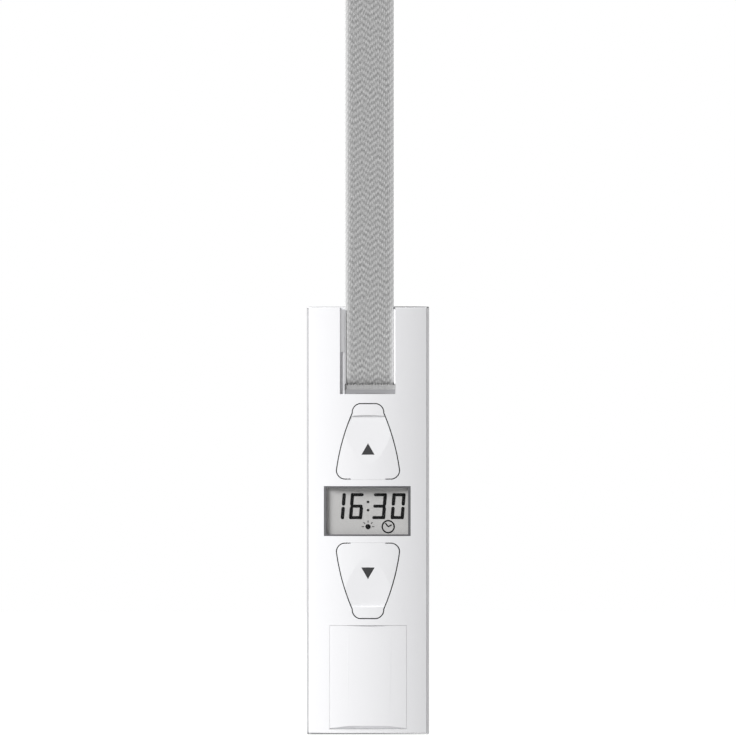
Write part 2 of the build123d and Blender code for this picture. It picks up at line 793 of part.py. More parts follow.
glass_half = (pocket[0] - display_fit, pocket[1] - display_fit)
lcd_front_depth = lens_front_depth - lens_thickness - lcd_gap
with BuildPart() as display_lens:
    slab((display_x - glass_half[0], -lens_front_depth, display_z - glass_half[1]),
         (display_x + glass_half[0], lens_thickness - lens_front_depth, display_z + glass_half[1]))
display_lens.part.label = "display_lens"
export_step(display_lens.part, "parts/display_lens.step")

with BuildPart() as lcd_glass:
    slab((display_x - glass_half[0], -lcd_front_depth, display_z - glass_half[1]),
         (display_x + glass_half[0], lcd_thickness - lcd_front_depth, display_z + glass_half[1]))
lcd_glass.part.label = "lcd_glass"
export_step(lcd_glass.part, "parts/lcd_glass.step")

with BuildPart() as lcd_contact_strips:
    for s in (1, -1):
        z = display_z + s * (glass_half[1] - contact_strip_inset)
        slab((display_x + 1 - glass_half[0], lcd_thickness - lcd_front_depth, z - contact_strip_thickness / 2),
             (display_x - 1 + glass_half[0], -board_front_depth, z + contact_strip_thickness / 2))
lcd_contact_strips.part.label = "lcd_contact_strips"
export_step(lcd_contact_strips.part, "parts/lcd_contact_strips.step")

# Control board with its screws and chips
board_screw_places = [(s * board_screw_x, z) for s in (1, -1)
                      for z in (board_top - board_screw_inset, board_bottom + board_screw_inset)]
with BuildPart() as control_board:
    with BuildSketch(room_plane(board_back_depth)):
        with Locations((0, (board_top + board_bottom) / 2)):
            RectangleRounded(board_width, board_top - board_bottom, board_corner_radius)
        with Locations(*board_screw_places):
            Circle(board_screw_radius + screw_gap, mode=Mode.SUBTRACT)
    extrude(amount=board_thickness)
control_board.part.label = "control_board"
export_step(control_board.part, "parts/control_board.step")

with BuildPart() as board_screws:
    for x, z in board_screw_places:
        bar_y(x, z, -board_front_depth, -board_screw_end_depth, board_screw_radius)
        bar_y(x, z, -board_front_depth - board_screw_head, -board_front_depth, board_screw_head_radius)
        head = board_front_depth + board_screw_head
        slab((x - screw_slot_length / 2, -head - 1, z - screw_slot_width / 2),
             (x + screw_slot_length / 2, screw_slot_depth - head, z + screw_slot_width / 2), mode=Mode.SUBTRACT)
board_screws.part.label = "board_screws"
export_step(board_screws.part, "parts/board_screws.step")

with BuildPart() as control_chips:
    chip_back = -board_back_depth
    for x, above_display, wide, high, tall in control_chip_layout:
        z = display_z + above_display
        slab((x - wide / 2, chip_back, z - high / 2), (x + wide / 2, chip_back + tall, z + high / 2))
control_chips.part.label = "control_chips"
export_step(control_chips.part, "parts/control_chips.step")

# Guide roller over which the belt turns into the wall
belt_inner_radius = roller_radius + belt_clearance
belt_bend_radius = belt_inner_radius + belt_thickness / 2
roller_y = -belt_front_depth + belt_thickness + belt_inner_radius
roller_half = belt_width / 2 + belt_side_clearance
roller_outer_half = roller_half + roller_flange_thickness
ear_inner_half = roller_outer_half + roller_side_gap
ear_outer_half = ear_inner_half + ear_thickness


def guide_roller_body(z):
    """Flanged roller with a bore, at a height z above the wall screws' middle."""
    bar_x(roller_y, z, belt_x - roller_half, belt_x + roller_half, roller_radius)
    for s in (1, -1):
        bar_x(roller_y, z, belt_x + s * roller_half, belt_x + s * roller_outer_half,
              roller_radius + roller_flange_height)
    bar_x(roller_y, z, belt_x - roller_outer_half - 1, belt_x + roller_outer_half + 1,
          roller_axle_radius + running_clearance, mode=Mode.SUBTRACT)


def roller_ears(z, plate_front):
    """Two ears that stand on a plate and carry a guide roller's axle."""
    for x in (belt_x - ear_outer_half, belt_x + ear_inner_half):
        slab((x, roller_y, z - ear_radius), (x + ear_thickness, join - plate_front, z + ear_radius))
        bar_x(roller_y, z, x, x + ear_thickness, ear_radius)
        bar_x(roller_y, z, x - 1, x + ear_thickness + 1, roller_axle_radius + seat_gap, mode=Mode.SUBTRACT)


with BuildPart() as guide_roller:
    guide_roller_body(roller_z)
guide_roller.part.label = "guide_roller"
export_step(guide_roller.part, "parts/guide_roller.step")

with BuildPart() as guide_roller_axle:
    bar_x(roller_y, roller_z, belt_x - ear_outer_half, belt_x + ear_outer_half, roller_axle_radius)
guide_roller_axle.part.label = "guide_roller_axle"
export_step(guide_roller_axle.part, "parts/guide_roller_axle.step")

# Mounting plate with its slots for the wall screws, the roller ears, rails and board standoffs
plate_screw_places = [(s * plate_screw_x, z) for s in (1, -1)
                      for z in (plate_screw_upper_z, plate_screw_lower_z)]
window_low_x = belt_x - ear_inner_half
window_high_x = belt_x + ear_inner_half
roller_reach = roller_radius + roller_flange_height + roller_side_gap
with BuildPart() as mounting_plate:
    with BuildSketch(room_plane(0)):
        RectangleRounded(plate_width, plate_height, plate_corner_radius)
        window_top = roller_z + roller_reach
        with Locations(((window_low_x + window_high_x) / 2, (belt_window_bottom + window_top) / 2)):
            Rectangle(window_high_x - window_low_x, window_top - belt_window_bottom, mode=Mode.SUBTRACT)
        with Locations((0, cable_window_z)):
            Rectangle(cable_window_width, cable_window_height, mode=Mode.SUBTRACT)
        with Locations((0, wall_screw_spacing / 2), (0, -wall_screw_spacing / 2)):
            SlotOverall(wall_slot_length, wall_slot_width, rotation=90, mode=Mode.SUBTRACT)
    extrude(amount=plate_thickness)
    roller_ears(roller_z, plate_thickness)
    for x, z in board_screw_places:
        bar_y(x, z, -board_back_depth, join - plate_thickness, standoff_radius)
        bar_y(x, z, -board_back_depth - 1, board_screw_tip_gap - board_screw_end_depth,
              board_screw_radius + seat_gap, mode=Mode.SUBTRACT)
    for x, z in plate_screw_places:
        bar_y(x, z, -plate_thickness - 1, 1, plate_screw_radius + close_screw_gap, mode=Mode.SUBTRACT)
        with Locations(Location((x, -plate_thickness / 2 - close_screw_gap / 2, z), (90, 0, 0))):
            Cone(plate_screw_radius + close_screw_gap, plate_screw_head_radius + screw_gap,
                 plate_screw_head + close_screw_gap, mode=Mode.SUBTRACT)
    for s in (1, -1):
        for z in (rail_z, -rail_z):
            outer = s * rail_body
            slab((outer - s * rail_thickness, -plate_thickness - rail_height, z - rail_length / 2),
                 (outer, join - plate_thickness, z + rail_length / 2))
            slab((outer - s * join, -plate_thickness - rail_height, z - rail_length / 2),
                 (s * rail_outer, hook_height - plate_thickness - rail_height, z + rail_length / 2))
mounting_plate.part.label = "mounting_plate"
export_step(mounting_plate.part, "parts/mounting_plate.step")

with BuildPart() as plate_screws:
    for x, z in plate_screw_places:
        bar_y(x, z, close_screw_gap - plate_thickness, plate_screw_length - plate_thickness, plate_screw_radius)
        with Locations(Location((x, -plate_thickness / 2 - close_screw_gap, z), (90, 0, 0))):
            Cone(plate_screw_radius, plate_screw_head_radius, plate_screw_head)
        slab((x - screw_slot_length / 2, -plate_thickness - 1, z - screw_slot_width / 2),
             (x + screw_slot_length / 2, screw_slot_depth - plate_thickness, z + screw_slot_width / 2),
             mode=Mode.SUBTRACT)
plate_screws.part.label = "plate_screws"
export_step(plate_screws.part, "parts/plate_screws.step")

# Belt: the coil on the reel, the inner run round the guide roller and the taut stretch in the room
coil_pitch = belt_thickness + coil_gap
coil_start_radius = reel_hub_radius + coil_hub_gap + belt_thickness / 2 + coil_pitch / 4
coil_end_radius = coil_start_radius + (2 * coil_turns - 1) * coil_pitch / 2
coil_outer_radius = coil_end_radius + coil_pitch / 4 + belt_thickness / 2
run_radius = coil_outer_radius + coil_run_gap + belt_thickness / 2
axes_distance = hypot(roller_y - reel_y, roller_z - reel_z)
axes_angle = degrees(atan2(roller_z - reel_z, roller_y - reel_y))
run_slope = axes_angle - 90 - degrees(acos((belt_bend_radius + run_radius) / axes_distance))
belt_left = belt_x - belt_width / 2


def polar(centre, radius, angle):
    """Point on a circle at an angle in degrees."""
    return (centre[0] + radius * cos(radians(angle)), centre[1] + radius * sin(radians(angle)))


def coil_half_turns(shift):
    """Start, middle and end of each half turn of the coil, shift outside the belt's middle line."""
    start_angle = 90 + run_slope
    turns = []
    for k in range(2 * coil_turns):
        angle = start_angle + 180 * (k % 2)
        centre = polar((reel_y, reel_z), coil_pitch / 4 * (2 * (k % 2) - 1), start_angle)
        radius = coil_start_radius + k * coil_pitch / 2 + shift
        turns.append([polar(centre, radius, angle + step) for step in (0, 90, 180)])
    return turns


coil_outside = coil_half_turns(belt_thickness / 2)
coil_inside = coil_half_turns(-belt_thickness / 2)
with BuildPart() as belt_coil:
    with BuildSketch(side_plane(belt_left)):
        with BuildLine():
            for outside, inside in zip(coil_outside, coil_inside):
                ThreePointArc(*outside)
                ThreePointArc(*inside)
            Line(coil_outside[0][0], coil_inside[0][0])
            Line(coil_outside[-1][-1], coil_inside[-1][-1])
        make_face()
    extrude(amount=belt_width)
belt_coil.part.label = "belt_coil"
export_step(belt_coil.part, "parts/belt_coil.step")

coil_points = []
for k in range(2 * coil_turns):
    for step in range(0, 180, 5):
        centre = polar((reel_y, reel_z), coil_pitch / 4 * (2 * (k % 2) - 1), 90 + run_slope)
        angle = 90 + run_slope + 180 * (k % 2) + step
        coil_points.append((k * 180 + step, polar(centre, coil_start_radius + k * coil_pitch / 2, angle)))
least_gap = min(hypot(p[0] - q[0], p[1] - q[1]) for turn, p in coil_points for other, q in coil_points
                if other - turn > 180) - belt_thickness
print(f"least gap between turns of the belt coil: {least_gap:.2f} mm")

roller_centre = (roller_y, roller_z)
with BuildPart() as belt_inner_run:
    with BuildSketch(side_plane(belt_left)):
        with BuildLine():
            ends = []
            for shift in (-belt_thickness / 2, belt_thickness / 2):
                bend = [polar(roller_centre, belt_bend_radius + shift, angle)
                        for angle in (180, 225 + run_slope / 2, 270 + run_slope)]
                end = polar((reel_y, reel_z), run_radius - shift, 90 + run_slope)
                ThreePointArc(*bend)
                Line(bend[-1], end)
                ends.append((bend[0], end))
            Line(ends[0][0], ends[1][0])
            Line(ends[0][1], ends[1][1])
        make_face()
    extrude(amount=belt_width)
belt_inner_run.part.label = "belt_inner_run"
export_step(belt_inner_run.part, "parts/belt_inner_run.step")

with BuildPart() as belt_strap:
    slab((belt_left, -belt_front_depth, roller_z),
         (belt_left + belt_width, belt_thickness - belt_front_depth, box_guide_z))
belt_strap.part.label = "belt_strap"
export_step(belt_strap.part, "parts/belt_strap.step")

with BuildPart() as belt_upper_turn:
    with BuildSketch(side_plane(belt_left)):
        with BuildLine():
            ends = []
            for shift in (-belt_thickness / 2, belt_thickness / 2):
                radius = belt_bend_radius + shift
                bend = [polar((roller_y, box_guide_z), radius, angle) for angle in (180, 135, 90)]
                end = (belt_wall_entry, box_guide_z + radius)
                ThreePointArc(*bend)
                Line(bend[-1], end)
                ends.append((bend[0], end))
            Line(ends[0][0], ends[1][0])
            Line(ends[0][1], ends[1][1])
        make_face()
    extrude(amount=belt_width)
belt_upper_turn.part.label = "belt_upper_turn"
export_step(belt_upper_turn.part, "parts/belt_upper_turn.step")

# Belt guide at the shutter box, above the winder
guide_hood_half = ear_outer_half + box_guide_hood_side_gap
guide_hood_inner_depth = belt_front_depth + box_guide_hood_gap
with BuildPart() as box_guide_plate:
    with BuildSketch(room_plane(0)):
        with Locations((belt_x, box_guide_z)):
            RectangleRounded(box_guide_width, box_guide_height, box_guide_corner_radius)
            Rectangle(2 * ear_inner_half, 2 * (roller_reach + box_guide_window_gap), mode=Mode.SUBTRACT)
        screw_offset = box_guide_height / 2 - box_guide_screw_inset
        with Locations((belt_x, box_guide_z + screw_offset), (belt_x, box_guide_z - screw_offset)):
            Circle(box_guide_screw_radius, mode=Mode.SUBTRACT)
    extrude(amount=box_guide_plate_thickness)
    roller_ears(box_guide_z, box_guide_plate_thickness)
box_guide_plate.part.label = "box_guide_plate"
export_step(box_guide_plate.part, "parts/box_guide_plate.step")

with BuildPart() as box_guide_hood:
    hood_top = box_guide_z + roller_reach + box_guide_hood_end
    hood_foot = box_guide_z - roller_reach - box_guide_hood_end
    hood_half = guide_hood_half + box_guide_hood_wall
    slab((belt_x - hood_half, -guide_hood_inner_depth - box_guide_hood_wall, hood_foot),
         (belt_x + hood_half, -box_guide_plate_thickness, hood_top))
    fillet(box_guide_hood.edges().group_by(Axis.Y)[0].filter_by(Axis.Z), box_guide_hood_rounding)
    fillet(box_guide_hood.faces().sort_by(Axis.Z)[-1].edges().sort_by(Axis.Y)[:-1], box_guide_hood_edge)
    slab((belt_x - guide_hood_half, -guide_hood_inner_depth, hood_foot - 1),
         (belt_x + guide_hood_half, 0, hood_top - box_guide_hood_wall), mode=Mode.SUBTRACT)
box_guide_hood.part.label = "box_guide_hood"
export_step(box_guide_hood.part, "parts/box_guide_hood.step")

with BuildPart() as box_guide_roller:
    guide_roller_body(box_guide_z)
box_guide_roller.part.label = "box_guide_roller"
export_step(box_guide_roller.part, "parts/box_guide_roller.step")

with BuildPart() as box_guide_axle:
    bar_x(roller_y, box_guide_z, belt_x - ear_outer_half, belt_x + ear_outer_half, roller_axle_radius)
box_guide_axle.part.label = "box_guide_axle"
export_step(box_guide_axle.part, "parts/box_guide_axle.step")

# Gears: the reel's spur gear, the pinion and worm wheel of the idler, and the motor's worm
pressure_angle = radians(20)
mesh_angle = atan2(idler_z - reel_z, idler_y - reel_y)
worm_lead = pi * worm_module


def tooth_half_angle(radius, module, teeth):
    """Half the angle that an involute tooth takes up at a radius."""
    pitch_radius = module * teeth / 2
    base_radius = pitch_radius * cos(pressure_angle)
    turn = acos(min(1, base_radius / radius))
    return ((pi * module / 2 - gear_backlash) / (2 * pitch_radius)
            + tan(pressure_angle) - pressure_angle - tan(turn) + turn)


def gear_outline(module, teeth, centre, phase):
    """Closed outline of a spur gear, with the middle of one tooth at the phase angle in radians."""
    pitch_radius = module * teeth / 2
    radii = (pitch_radius - 1.25 * module, pitch_radius, pitch_radius + module)
    halves = [tooth_half_angle(radius, module, teeth) for radius in radii]

    def point(radius, angle):
        return (centre[0] + radius * cos(angle), centre[1] + radius * sin(angle))

    for i in range(teeth):
        middle = phase + 2 * pi * i / teeth
        rise = [point(radius, middle - half) for radius, half in zip(radii, halves)]
        fall = [point(radius, middle + half) for radius, half in zip(radii, halves)]
        next_foot = point(radii[0], middle + 2 * pi / teeth - halves[0])
        ThreePointArc(*rise)
        Line(rise[-1], fall[-1])
        ThreePointArc(*fall)
        Line(fall[0], next_foot)


reel_centre = (reel_y, reel_z)
with BuildPart() as belt_reel:
    with BuildSketch(side_plane(gear_left)):
        with BuildLine():
            gear_outline(gear_module, reel_teeth, reel_centre, mesh_angle)
        make_face()
    extrude(amount=gear_width)
    bar_x(reel_y, reel_z, gear_right, reel_left, reel_flange_radius)
    bar_x(reel_y, reel_z, reel_left, reel_right, reel_hub_radius)
    bar_x(reel_y, reel_z, gear_right, reel_right + 1, reel_hub_radius - reel_hub_wall, mode=Mode.SUBTRACT)
    with BuildSketch(side_plane(gear_right - 0.1)):
        with Locations(reel_centre):
            Circle(reel_bore_tube_radius)
            with PolarLocations((reel_bore_tube_radius + reel_hub_radius - reel_hub_wall) / 2, reel_rib_count):
                Rectangle(reel_hub_radius - reel_bore_tube_radius, reel_rib_width)
            with PolarLocations(reel_screw_circle, reel_screw_count):
                Circle(reel_screw_boss_radius)
    extrude(amount=reel_right - gear_right + 0.1)
    tube_end = inner_wall - reel_end_gap - reel_bush_flange
    bar_x(reel_y, reel_z, -tube_end, tube_end, reel_bore_tube_radius)
    bar_x(reel_y, reel_z, -tube_end - 1, tube_end + 1, reel_axle_radius + reel_bush_wall, mode=Mode.SUBTRACT)
    with BuildSketch(side_plane(gear_left - 1)):
        with Locations(reel_centre):
            with PolarLocations(reel_window_circle, reel_window_count, 180 / reel_window_count):
                Circle(reel_window_radius)
    extrude(amount=reel_left - gear_left + 2, mode=Mode.SUBTRACT)
    with BuildSketch(side_plane(reel_right - reel_screw_length - 1)):
        with Locations(reel_centre):
            with PolarLocations(reel_screw_circle, reel_screw_count):
                Circle(reel_screw_radius + seat_gap)
    extrude(amount=reel_screw_length + 2, mode=Mode.SUBTRACT)
belt_reel.part.label = "belt_reel"
export_step(belt_reel.part, "parts/belt_reel.step")

with BuildPart() as reel_flange:
    with BuildSketch(side_plane(reel_right)):
        with Locations(reel_centre):
            Circle(reel_flange_radius)
            Circle(reel_bore_tube_radius + close_screw_gap, mode=Mode.SUBTRACT)
            with PolarLocations(reel_window_circle, reel_window_count, 180 / reel_window_count):
                Circle(reel_window_radius, mode=Mode.SUBTRACT)
            with PolarLocations(reel_screw_circle, reel_screw_count):
                Circle(reel_screw_radius + screw_gap, mode=Mode.SUBTRACT)
    extrude(amount=reel_flange_thickness)
reel_flange.part.label = "reel_flange"
export_step(reel_flange.part, "parts/reel_flange.step")

with BuildPart() as reel_flange_screws:
    flange_face = reel_right + reel_flange_thickness
    for i in range(reel_screw_count):
        y, z = polar(reel_centre, reel_screw_circle, 360 / reel_screw_count * i)
        bar_x(y, z, reel_right - reel_screw_length, flange_face, reel_screw_radius)
        bar_x(y, z, flange_face, flange_face + reel_screw_head, 2 * reel_screw_radius)
reel_flange_screws.part.label = "reel_flange_screws"
export_step(reel_flange_screws.part, "parts/reel_flange_screws.step")

with BuildPart() as reel_bushes:
    for s in (1, -1):
        bar_x(reel_y, reel_z, s * tube_end, s * (tube_end + reel_bush_flange), reel_bush_flange_radius)
        bar_x(reel_y, reel_z, s * (tube_end - reel_bush_length), s * tube_end,
              reel_axle_radius + reel_bush_wall - seat_gap)
    bar_x(reel_y, reel_z, -inner_wall, inner_wall, reel_axle_radius + running_clearance, mode=Mode.SUBTRACT)
reel_bushes.part.label = "reel_bushes"
export_step(reel_bushes.part, "parts/reel_bushes.step")

with BuildPart() as reel_axle:
    bar_x(reel_y, reel_z, -inner_wall - axle_wall_seat, inner_wall + axle_wall_seat, reel_axle_radius)
reel_axle.part.label = "reel_axle"
export_step(reel_axle.part, "parts/reel_axle.step")

idler_sleeve_radius = idler_axle_radius + running_clearance + idler_sleeve_wall
with BuildPart() as spur_pinion:
    with BuildSketch(side_plane(gear_left + gear_side_gap)):
        with BuildLine():
            gear_outline(gear_module, pinion_teeth, (idler_y, idler_z), mesh_angle + pi + pi / pinion_teeth)
        make_face()
    extrude(amount=pinion_width)
    bar_x(idler_y, idler_z, reel_end_gap - inner_wall, inner_wall - reel_end_gap, idler_sleeve_radius)
    bar_x(idler_y, idler_z, -inner_wall, inner_wall, idler_axle_radius + running_clearance, mode=Mode.SUBTRACT)
spur_pinion.part.label = "spur_pinion"
export_step(spur_pinion.part, "parts/spur_pinion.step")

wheel_twist = worm_wheel_width / 2 * worm_lead / (2 * pi * worm_pitch_radius) / wheel_pitch_radius
with BuildPart() as worm_wheel:
    for x, twist in ((-worm_wheel_width / 2, -wheel_twist), (worm_wheel_width / 2, wheel_twist)):
        with BuildSketch(side_plane(x)):
            with BuildLine():
                gear_outline(worm_module, worm_wheel_teeth, (idler_y, idler_z), twist - pi / 2)
            make_face()
    loft(ruled=True)
    bar_x(idler_y, idler_z, -worm_wheel_width, worm_wheel_width, idler_sleeve_radius + seat_gap,
          mode=Mode.SUBTRACT)
worm_wheel.part.label = "worm_wheel"
export_step(worm_wheel.part, "parts/worm_wheel.step")

with BuildPart() as idler_axle:
    bar_x(idler_y, idler_z, -inner_wall - axle_wall_seat, inner_wall + axle_wall_seat, idler_axle_radius)
idler_axle.part.label = "idler_axle"
export_step(idler_axle.part, "parts/idler_axle.step")

worm_half = worm_turns * worm_lead / 2
worm_crest = worm_module - worm_crest_gap
worm_root = worm_pitch_radius - 1.25 * worm_module
with BuildPart() as worm:
    with BuildLine() as thread_line:
        Helix(pitch=worm_lead, height=2 * worm_half, radius=worm_pitch_radius,
              center=(0, idler_y - worm_half, worm_z), direction=(0, 1, 0))
    thread_start = thread_line.line @ 0
    radial = (thread_start - Vector(0, thread_start.Y, worm_z)).normalized()
    with BuildSketch(Plane(origin=thread_start, x_dir=radial, z_dir=Vector(0, 1, 0).cross(radial))):
        with BuildLine():
            flank = tan(pressure_angle)
            half = worm_lead / 4 - worm_thinning / 2
            sink = worm_pitch_radius - worm_root + join / 2
            Polyline((-sink, half + sink * flank), (worm_crest, half - worm_crest * flank),
                     (worm_crest, worm_crest * flank - half), (-sink, -half - sink * flank), close=True)
        make_face()
    sweep(path=thread_line.wires()[0], is_frenet=True)
    bar_y(0, worm_z, idler_y - worm_half - worm_shoulder, idler_y + worm_half + worm_shoulder, worm_root)
    bar_y(0, worm_z, idler_y - 2 * worm_half, idler_y + 2 * worm_half, worm_shaft_radius + seat_gap,
          mode=Mode.SUBTRACT)
worm.part.label = "worm"
export_step(worm.part, "parts/worm.step")

# Motor with the shaft that carries the worm
motor_back_y = motor_front_y + motor_length
with BuildPart() as motor_shaft:
    bar_y(0, worm_z, front_bearing_y - worm_bearing_length / 2, motor_back_y + motor_cap_length / 2,
          worm_shaft_radius)
motor_shaft.part.label = "motor_shaft"
export_step(motor_shaft.part, "parts/motor_shaft.step")

with BuildPart() as worm_bearings:
    for y in (front_bearing_y, rear_bearing_y):
        bar_y(0, worm_z, y - worm_bearing_length / 2, y + worm_bearing_length / 2, worm_bearing_radius)
    bar_y(0, worm_z, 0, motor_front_y, worm_shaft_radius + running_clearance, mode=Mode.SUBTRACT)
worm_bearings.part.label = "worm_bearings"
export_step(worm_bearings.part, "parts/worm_bearings.step")

with BuildPart() as motor_can:
    bar_y(0, worm_z, motor_front_y, motor_back_y, motor_radius)
    bar_y(0, worm_z, motor_front_y - motor_plate_thickness, motor_front_y, motor_boss_radius)
    bar_y(0, worm_z, motor_front_y + motor_can_wall, motor_back_y + 1, motor_radius - motor_can_wall,
          mode=Mode.SUBTRACT)
    bar_y(0, worm_z, 0, motor_back_y, worm_shaft_radius + running_clearance, mode=Mode.SUBTRACT)
    for s in (1, -1):
        bar_y(s * motor_screw_circle, worm_z, motor_front_y - 1, motor_front_y + motor_can_wall + 1,
              motor_screw_radius + seat_gap, mode=Mode.SUBTRACT)
motor_can.part.label = "motor_can"
export_step(motor_can.part, "parts/motor_can.step")

with BuildPart() as motor_end_cap:
    bar_y(0, worm_z, motor_back_y, motor_back_y + motor_cap_length, motor_radius)
    fillet(motor_end_cap.edges().sort_by(Axis.Y)[-1], motor_cap_rounding)
    bar_y(0, worm_z, motor_back_y - 1, motor_back_y + motor_cap_length / 2 + motor_shaft_end_gap,
          worm_shaft_radius + running_clearance, mode=Mode.SUBTRACT)
motor_end_cap.part.label = "motor_end_cap"
export_step(motor_end_cap.part, "parts/motor_end_cap.step")

magnet_outer = motor_radius - motor_can_wall
magnet_inner = magnet_outer - magnet_thickness
armature_start = motor_front_y + (motor_length - armature_length) / 2
with BuildPart() as motor_magnets:
    bar_y(0, worm_z, armature_start, armature_start + armature_length, magnet_outer - seat_gap)
    bar_y(0, worm_z, armature_start - 1, armature_start + armature_length + 1, magnet_inner, mode=Mode.SUBTRACT)
    slab((-motor_radius, armature_start - 1, worm_z - magnet_inner / 2),
         (motor_radius, armature_start + armature_length + 1, worm_z + magnet_inner / 2), mode=Mode.SUBTRACT)
motor_magnets.part.label = "motor_magnets"
export_step(motor_magnets.part, "parts/motor_magnets.step")

with BuildPart() as motor_armature:
    bar_y(0, worm_z, armature_start, armature_start + armature_length, magnet_inner - armature_gap)
    with BuildSketch(Plane(origin=(0, armature_start - 1, worm_z), x_dir=(1, 0, 0), z_dir=(0, 1, 0))):
        with PolarLocations(magnet_inner - armature_slot_inset, armature_slot_count):
            Rectangle(armature_slot_length, armature_slot_width)
    extrude(amount=armature_length + 2, mode=Mode.SUBTRACT)
    bar_y(0, worm_z, armature_start - 1, armature_start + armature_length + 1, worm_shaft_radius + seat_gap,
          mode=Mode.SUBTRACT)
motor_armature.part.label = "motor_armature"
export_step(motor_armature.part, "parts/motor_armature.step")

bracket_half = inner_wall - motor_bracket_gap
with BuildPart() as motor_bracket:
    slab((-bracket_half, motor_front_y - motor_plate_thickness, housing_floor),
         (bracket_half, motor_front_y, worm_z + motor_radius + motor_bracket_rise))
    bar_y(0, worm_z, 0, motor_back_y, motor_boss_radius + seat_gap, mode=Mode.SUBTRACT)
    for s in (1, -1):
        bar_y(s * motor_screw_circle, worm_z, 0, motor_back_y, motor_screw_radius + close_screw_gap,
              mode=Mode.SUBTRACT)
motor_bracket.part.label = "motor_bracket"
export_step(motor_bracket.part, "parts/motor_bracket.step")

with BuildPart() as motor_screws:
    bracket_front = motor_front_y - motor_plate_thickness
    for s in (1, -1):
        bar_y(s * motor_screw_circle, worm_z, bracket_front, motor_front_y + motor_can_wall, motor_screw_radius)
        bar_y(s * motor_screw_circle, worm_z, bracket_front - motor_screw_head, bracket_front,
              motor_screw_head_radius)
motor_screws.part.label = "motor_screws"
export_step(motor_screws.part, "parts/motor_screws.step")

# Housing in the wall: an open box, its lid on the right and the screws that hold the lid
lid_corner_z = housing_height / 2 - lid_screw_inset
lid_screw_places = [(y, z) for y in (lid_screw_front_y, housing_depth - lid_screw_back_inset)
                    for z in (lid_corner_z, -lid_corner_z)]
lid_screw_places.append((housing_depth - lid_middle_screw_back_inset, lid_middle_screw_back_z))
lid_screw_places.append((lid_middle_screw_front_y, lid_middle_screw_front_z))
with BuildPart() as housing_body:
    with BuildSketch(side_plane(housing_left)) as outline:
        with Locations((housing_depth / 2, 0)):
            Rectangle(housing_depth, housing_height)
        fillet(outline.vertices().group_by(Axis.X)[-1], housing_corner_radius)
    extrude(amount=inner_wall - housing_left)
    with BuildSketch(side_plane(-inner_wall)) as hollow:
        with Locations((housing_depth / 2, 0)):
            Rectangle(housing_depth - 2 * housing_wall, housing_height - 2 * housing_wall)
        fillet(hollow.vertices().group_by(Axis.X)[-1], housing_corner_radius - housing_wall)
    extrude(amount=2 * inner_wall, mode=Mode.SUBTRACT)
    # Bosses for the lid screws and the plate screws
    for y, z in lid_screw_places:
        bar_x(y, z, -inner_wall - 1, inner_wall, lid_boss_radius)
        bar_x(y, z, inner_wall + 1, inner_wall - lid_screw_length, lid_screw_radius + seat_gap,
              mode=Mode.SUBTRACT)
    for x, z in plate_screw_places:
        hole_end = plate_screw_length - plate_thickness + plate_screw_tip_gap
        bar_y(x, z, housing_wall / 2, hole_end + plate_screw_boss_floor,
              plate_screw_radius + plate_screw_boss_wall)
        bar_y(x, z, -1, hole_end, plate_screw_radius + seat_gap, mode=Mode.SUBTRACT)
    # Ribs that carry the worm's bearings, open towards the lid
    rib_top = worm_z + worm_bearing_radius - rib_drop
    for y, rib_left in ((front_bearing_y, -inner_wall - 1), (rear_bearing_y, gear_right + rib_gear_gap)):
        slab((rib_left, y - worm_bearing_length / 2, housing_floor - join),
             (worm_bearing_radius + rib_wall, y + worm_bearing_length / 2, rib_top))
        bar_y(0, worm_z, y - worm_bearing_length, y + worm_bearing_length, worm_bearing_radius + seat_gap,
              mode=Mode.SUBTRACT)
    # Blind seats of the two axles
    for y, z, radius in ((reel_y, reel_z, reel_axle_radius), (idler_y, idler_z, idler_axle_radius)):
        bar_x(y, z, -inner_wall - axle_wall_seat, 0, radius + seat_gap, mode=Mode.SUBTRACT)
    # Window for the belt and the guide roller, window for the control cable and the cable inlet
    slab((window_low_x, -1, belt_window_bottom), (window_high_x, housing_wall + 1, roller_z + 1),
         mode=Mode.SUBTRACT)
    slab((-cable_window_width / 2, -1, cable_window_z - cable_window_height / 2),
         (cable_window_width / 2, housing_wall + 1, cable_window_z + cable_window_height / 2),
         mode=Mode.SUBTRACT)
    bar_z(0, inlet_y, -housing_height / 2 - 1, housing_floor + 1, grommet_radius, mode=Mode.SUBTRACT)
housing_body.part.label = "housing_body"
export_step(housing_body.part, "parts/housing_body.step")

with BuildPart() as housing_lid:
    with BuildSketch(side_plane(inner_wall)) as outline:
        with Locations((housing_depth / 2, 0)):
            Rectangle(housing_depth, housing_height)
        fillet(outline.vertices().group_by(Axis.X)[-1], housing_corner_radius)
        with Locations(*lid_screw_places):
            Circle(lid_screw_radius + screw_gap, mode=Mode.SUBTRACT)
    extrude(amount=housing_wall)
    for y, z, radius in ((reel_y, reel_z, reel_axle_radius), (idler_y, idler_z, idler_axle_radius)):
        bar_x(y, z, 0, inner_wall + axle_wall_seat, radius + seat_gap, mode=Mode.SUBTRACT)
housing_lid.part.label = "housing_lid"
export_step(housing_lid.part, "parts/housing_lid.step")

with BuildPart() as lid_screws:
    for y, z in lid_screw_places:
        bar_x(y, z, housing_right + seat_gap, housing_right + housing_wall - lid_screw_length, lid_screw_radius)
        bar_x(y, z, housing_right, housing_right + lid_screw_head, lid_screw_head_radius)
        head = housing_right + lid_screw_head
        slab((head - screw_slot_depth, y - screw_slot_length / 2, z - screw_slot_width / 2),
             (head + 1, y + screw_slot_length / 2, z + screw_slot_width / 2), mode=Mode.SUBTRACT)
lid_screws.part.label = "lid_screws"
export_step(lid_screws.part, "parts/lid_screws.step")

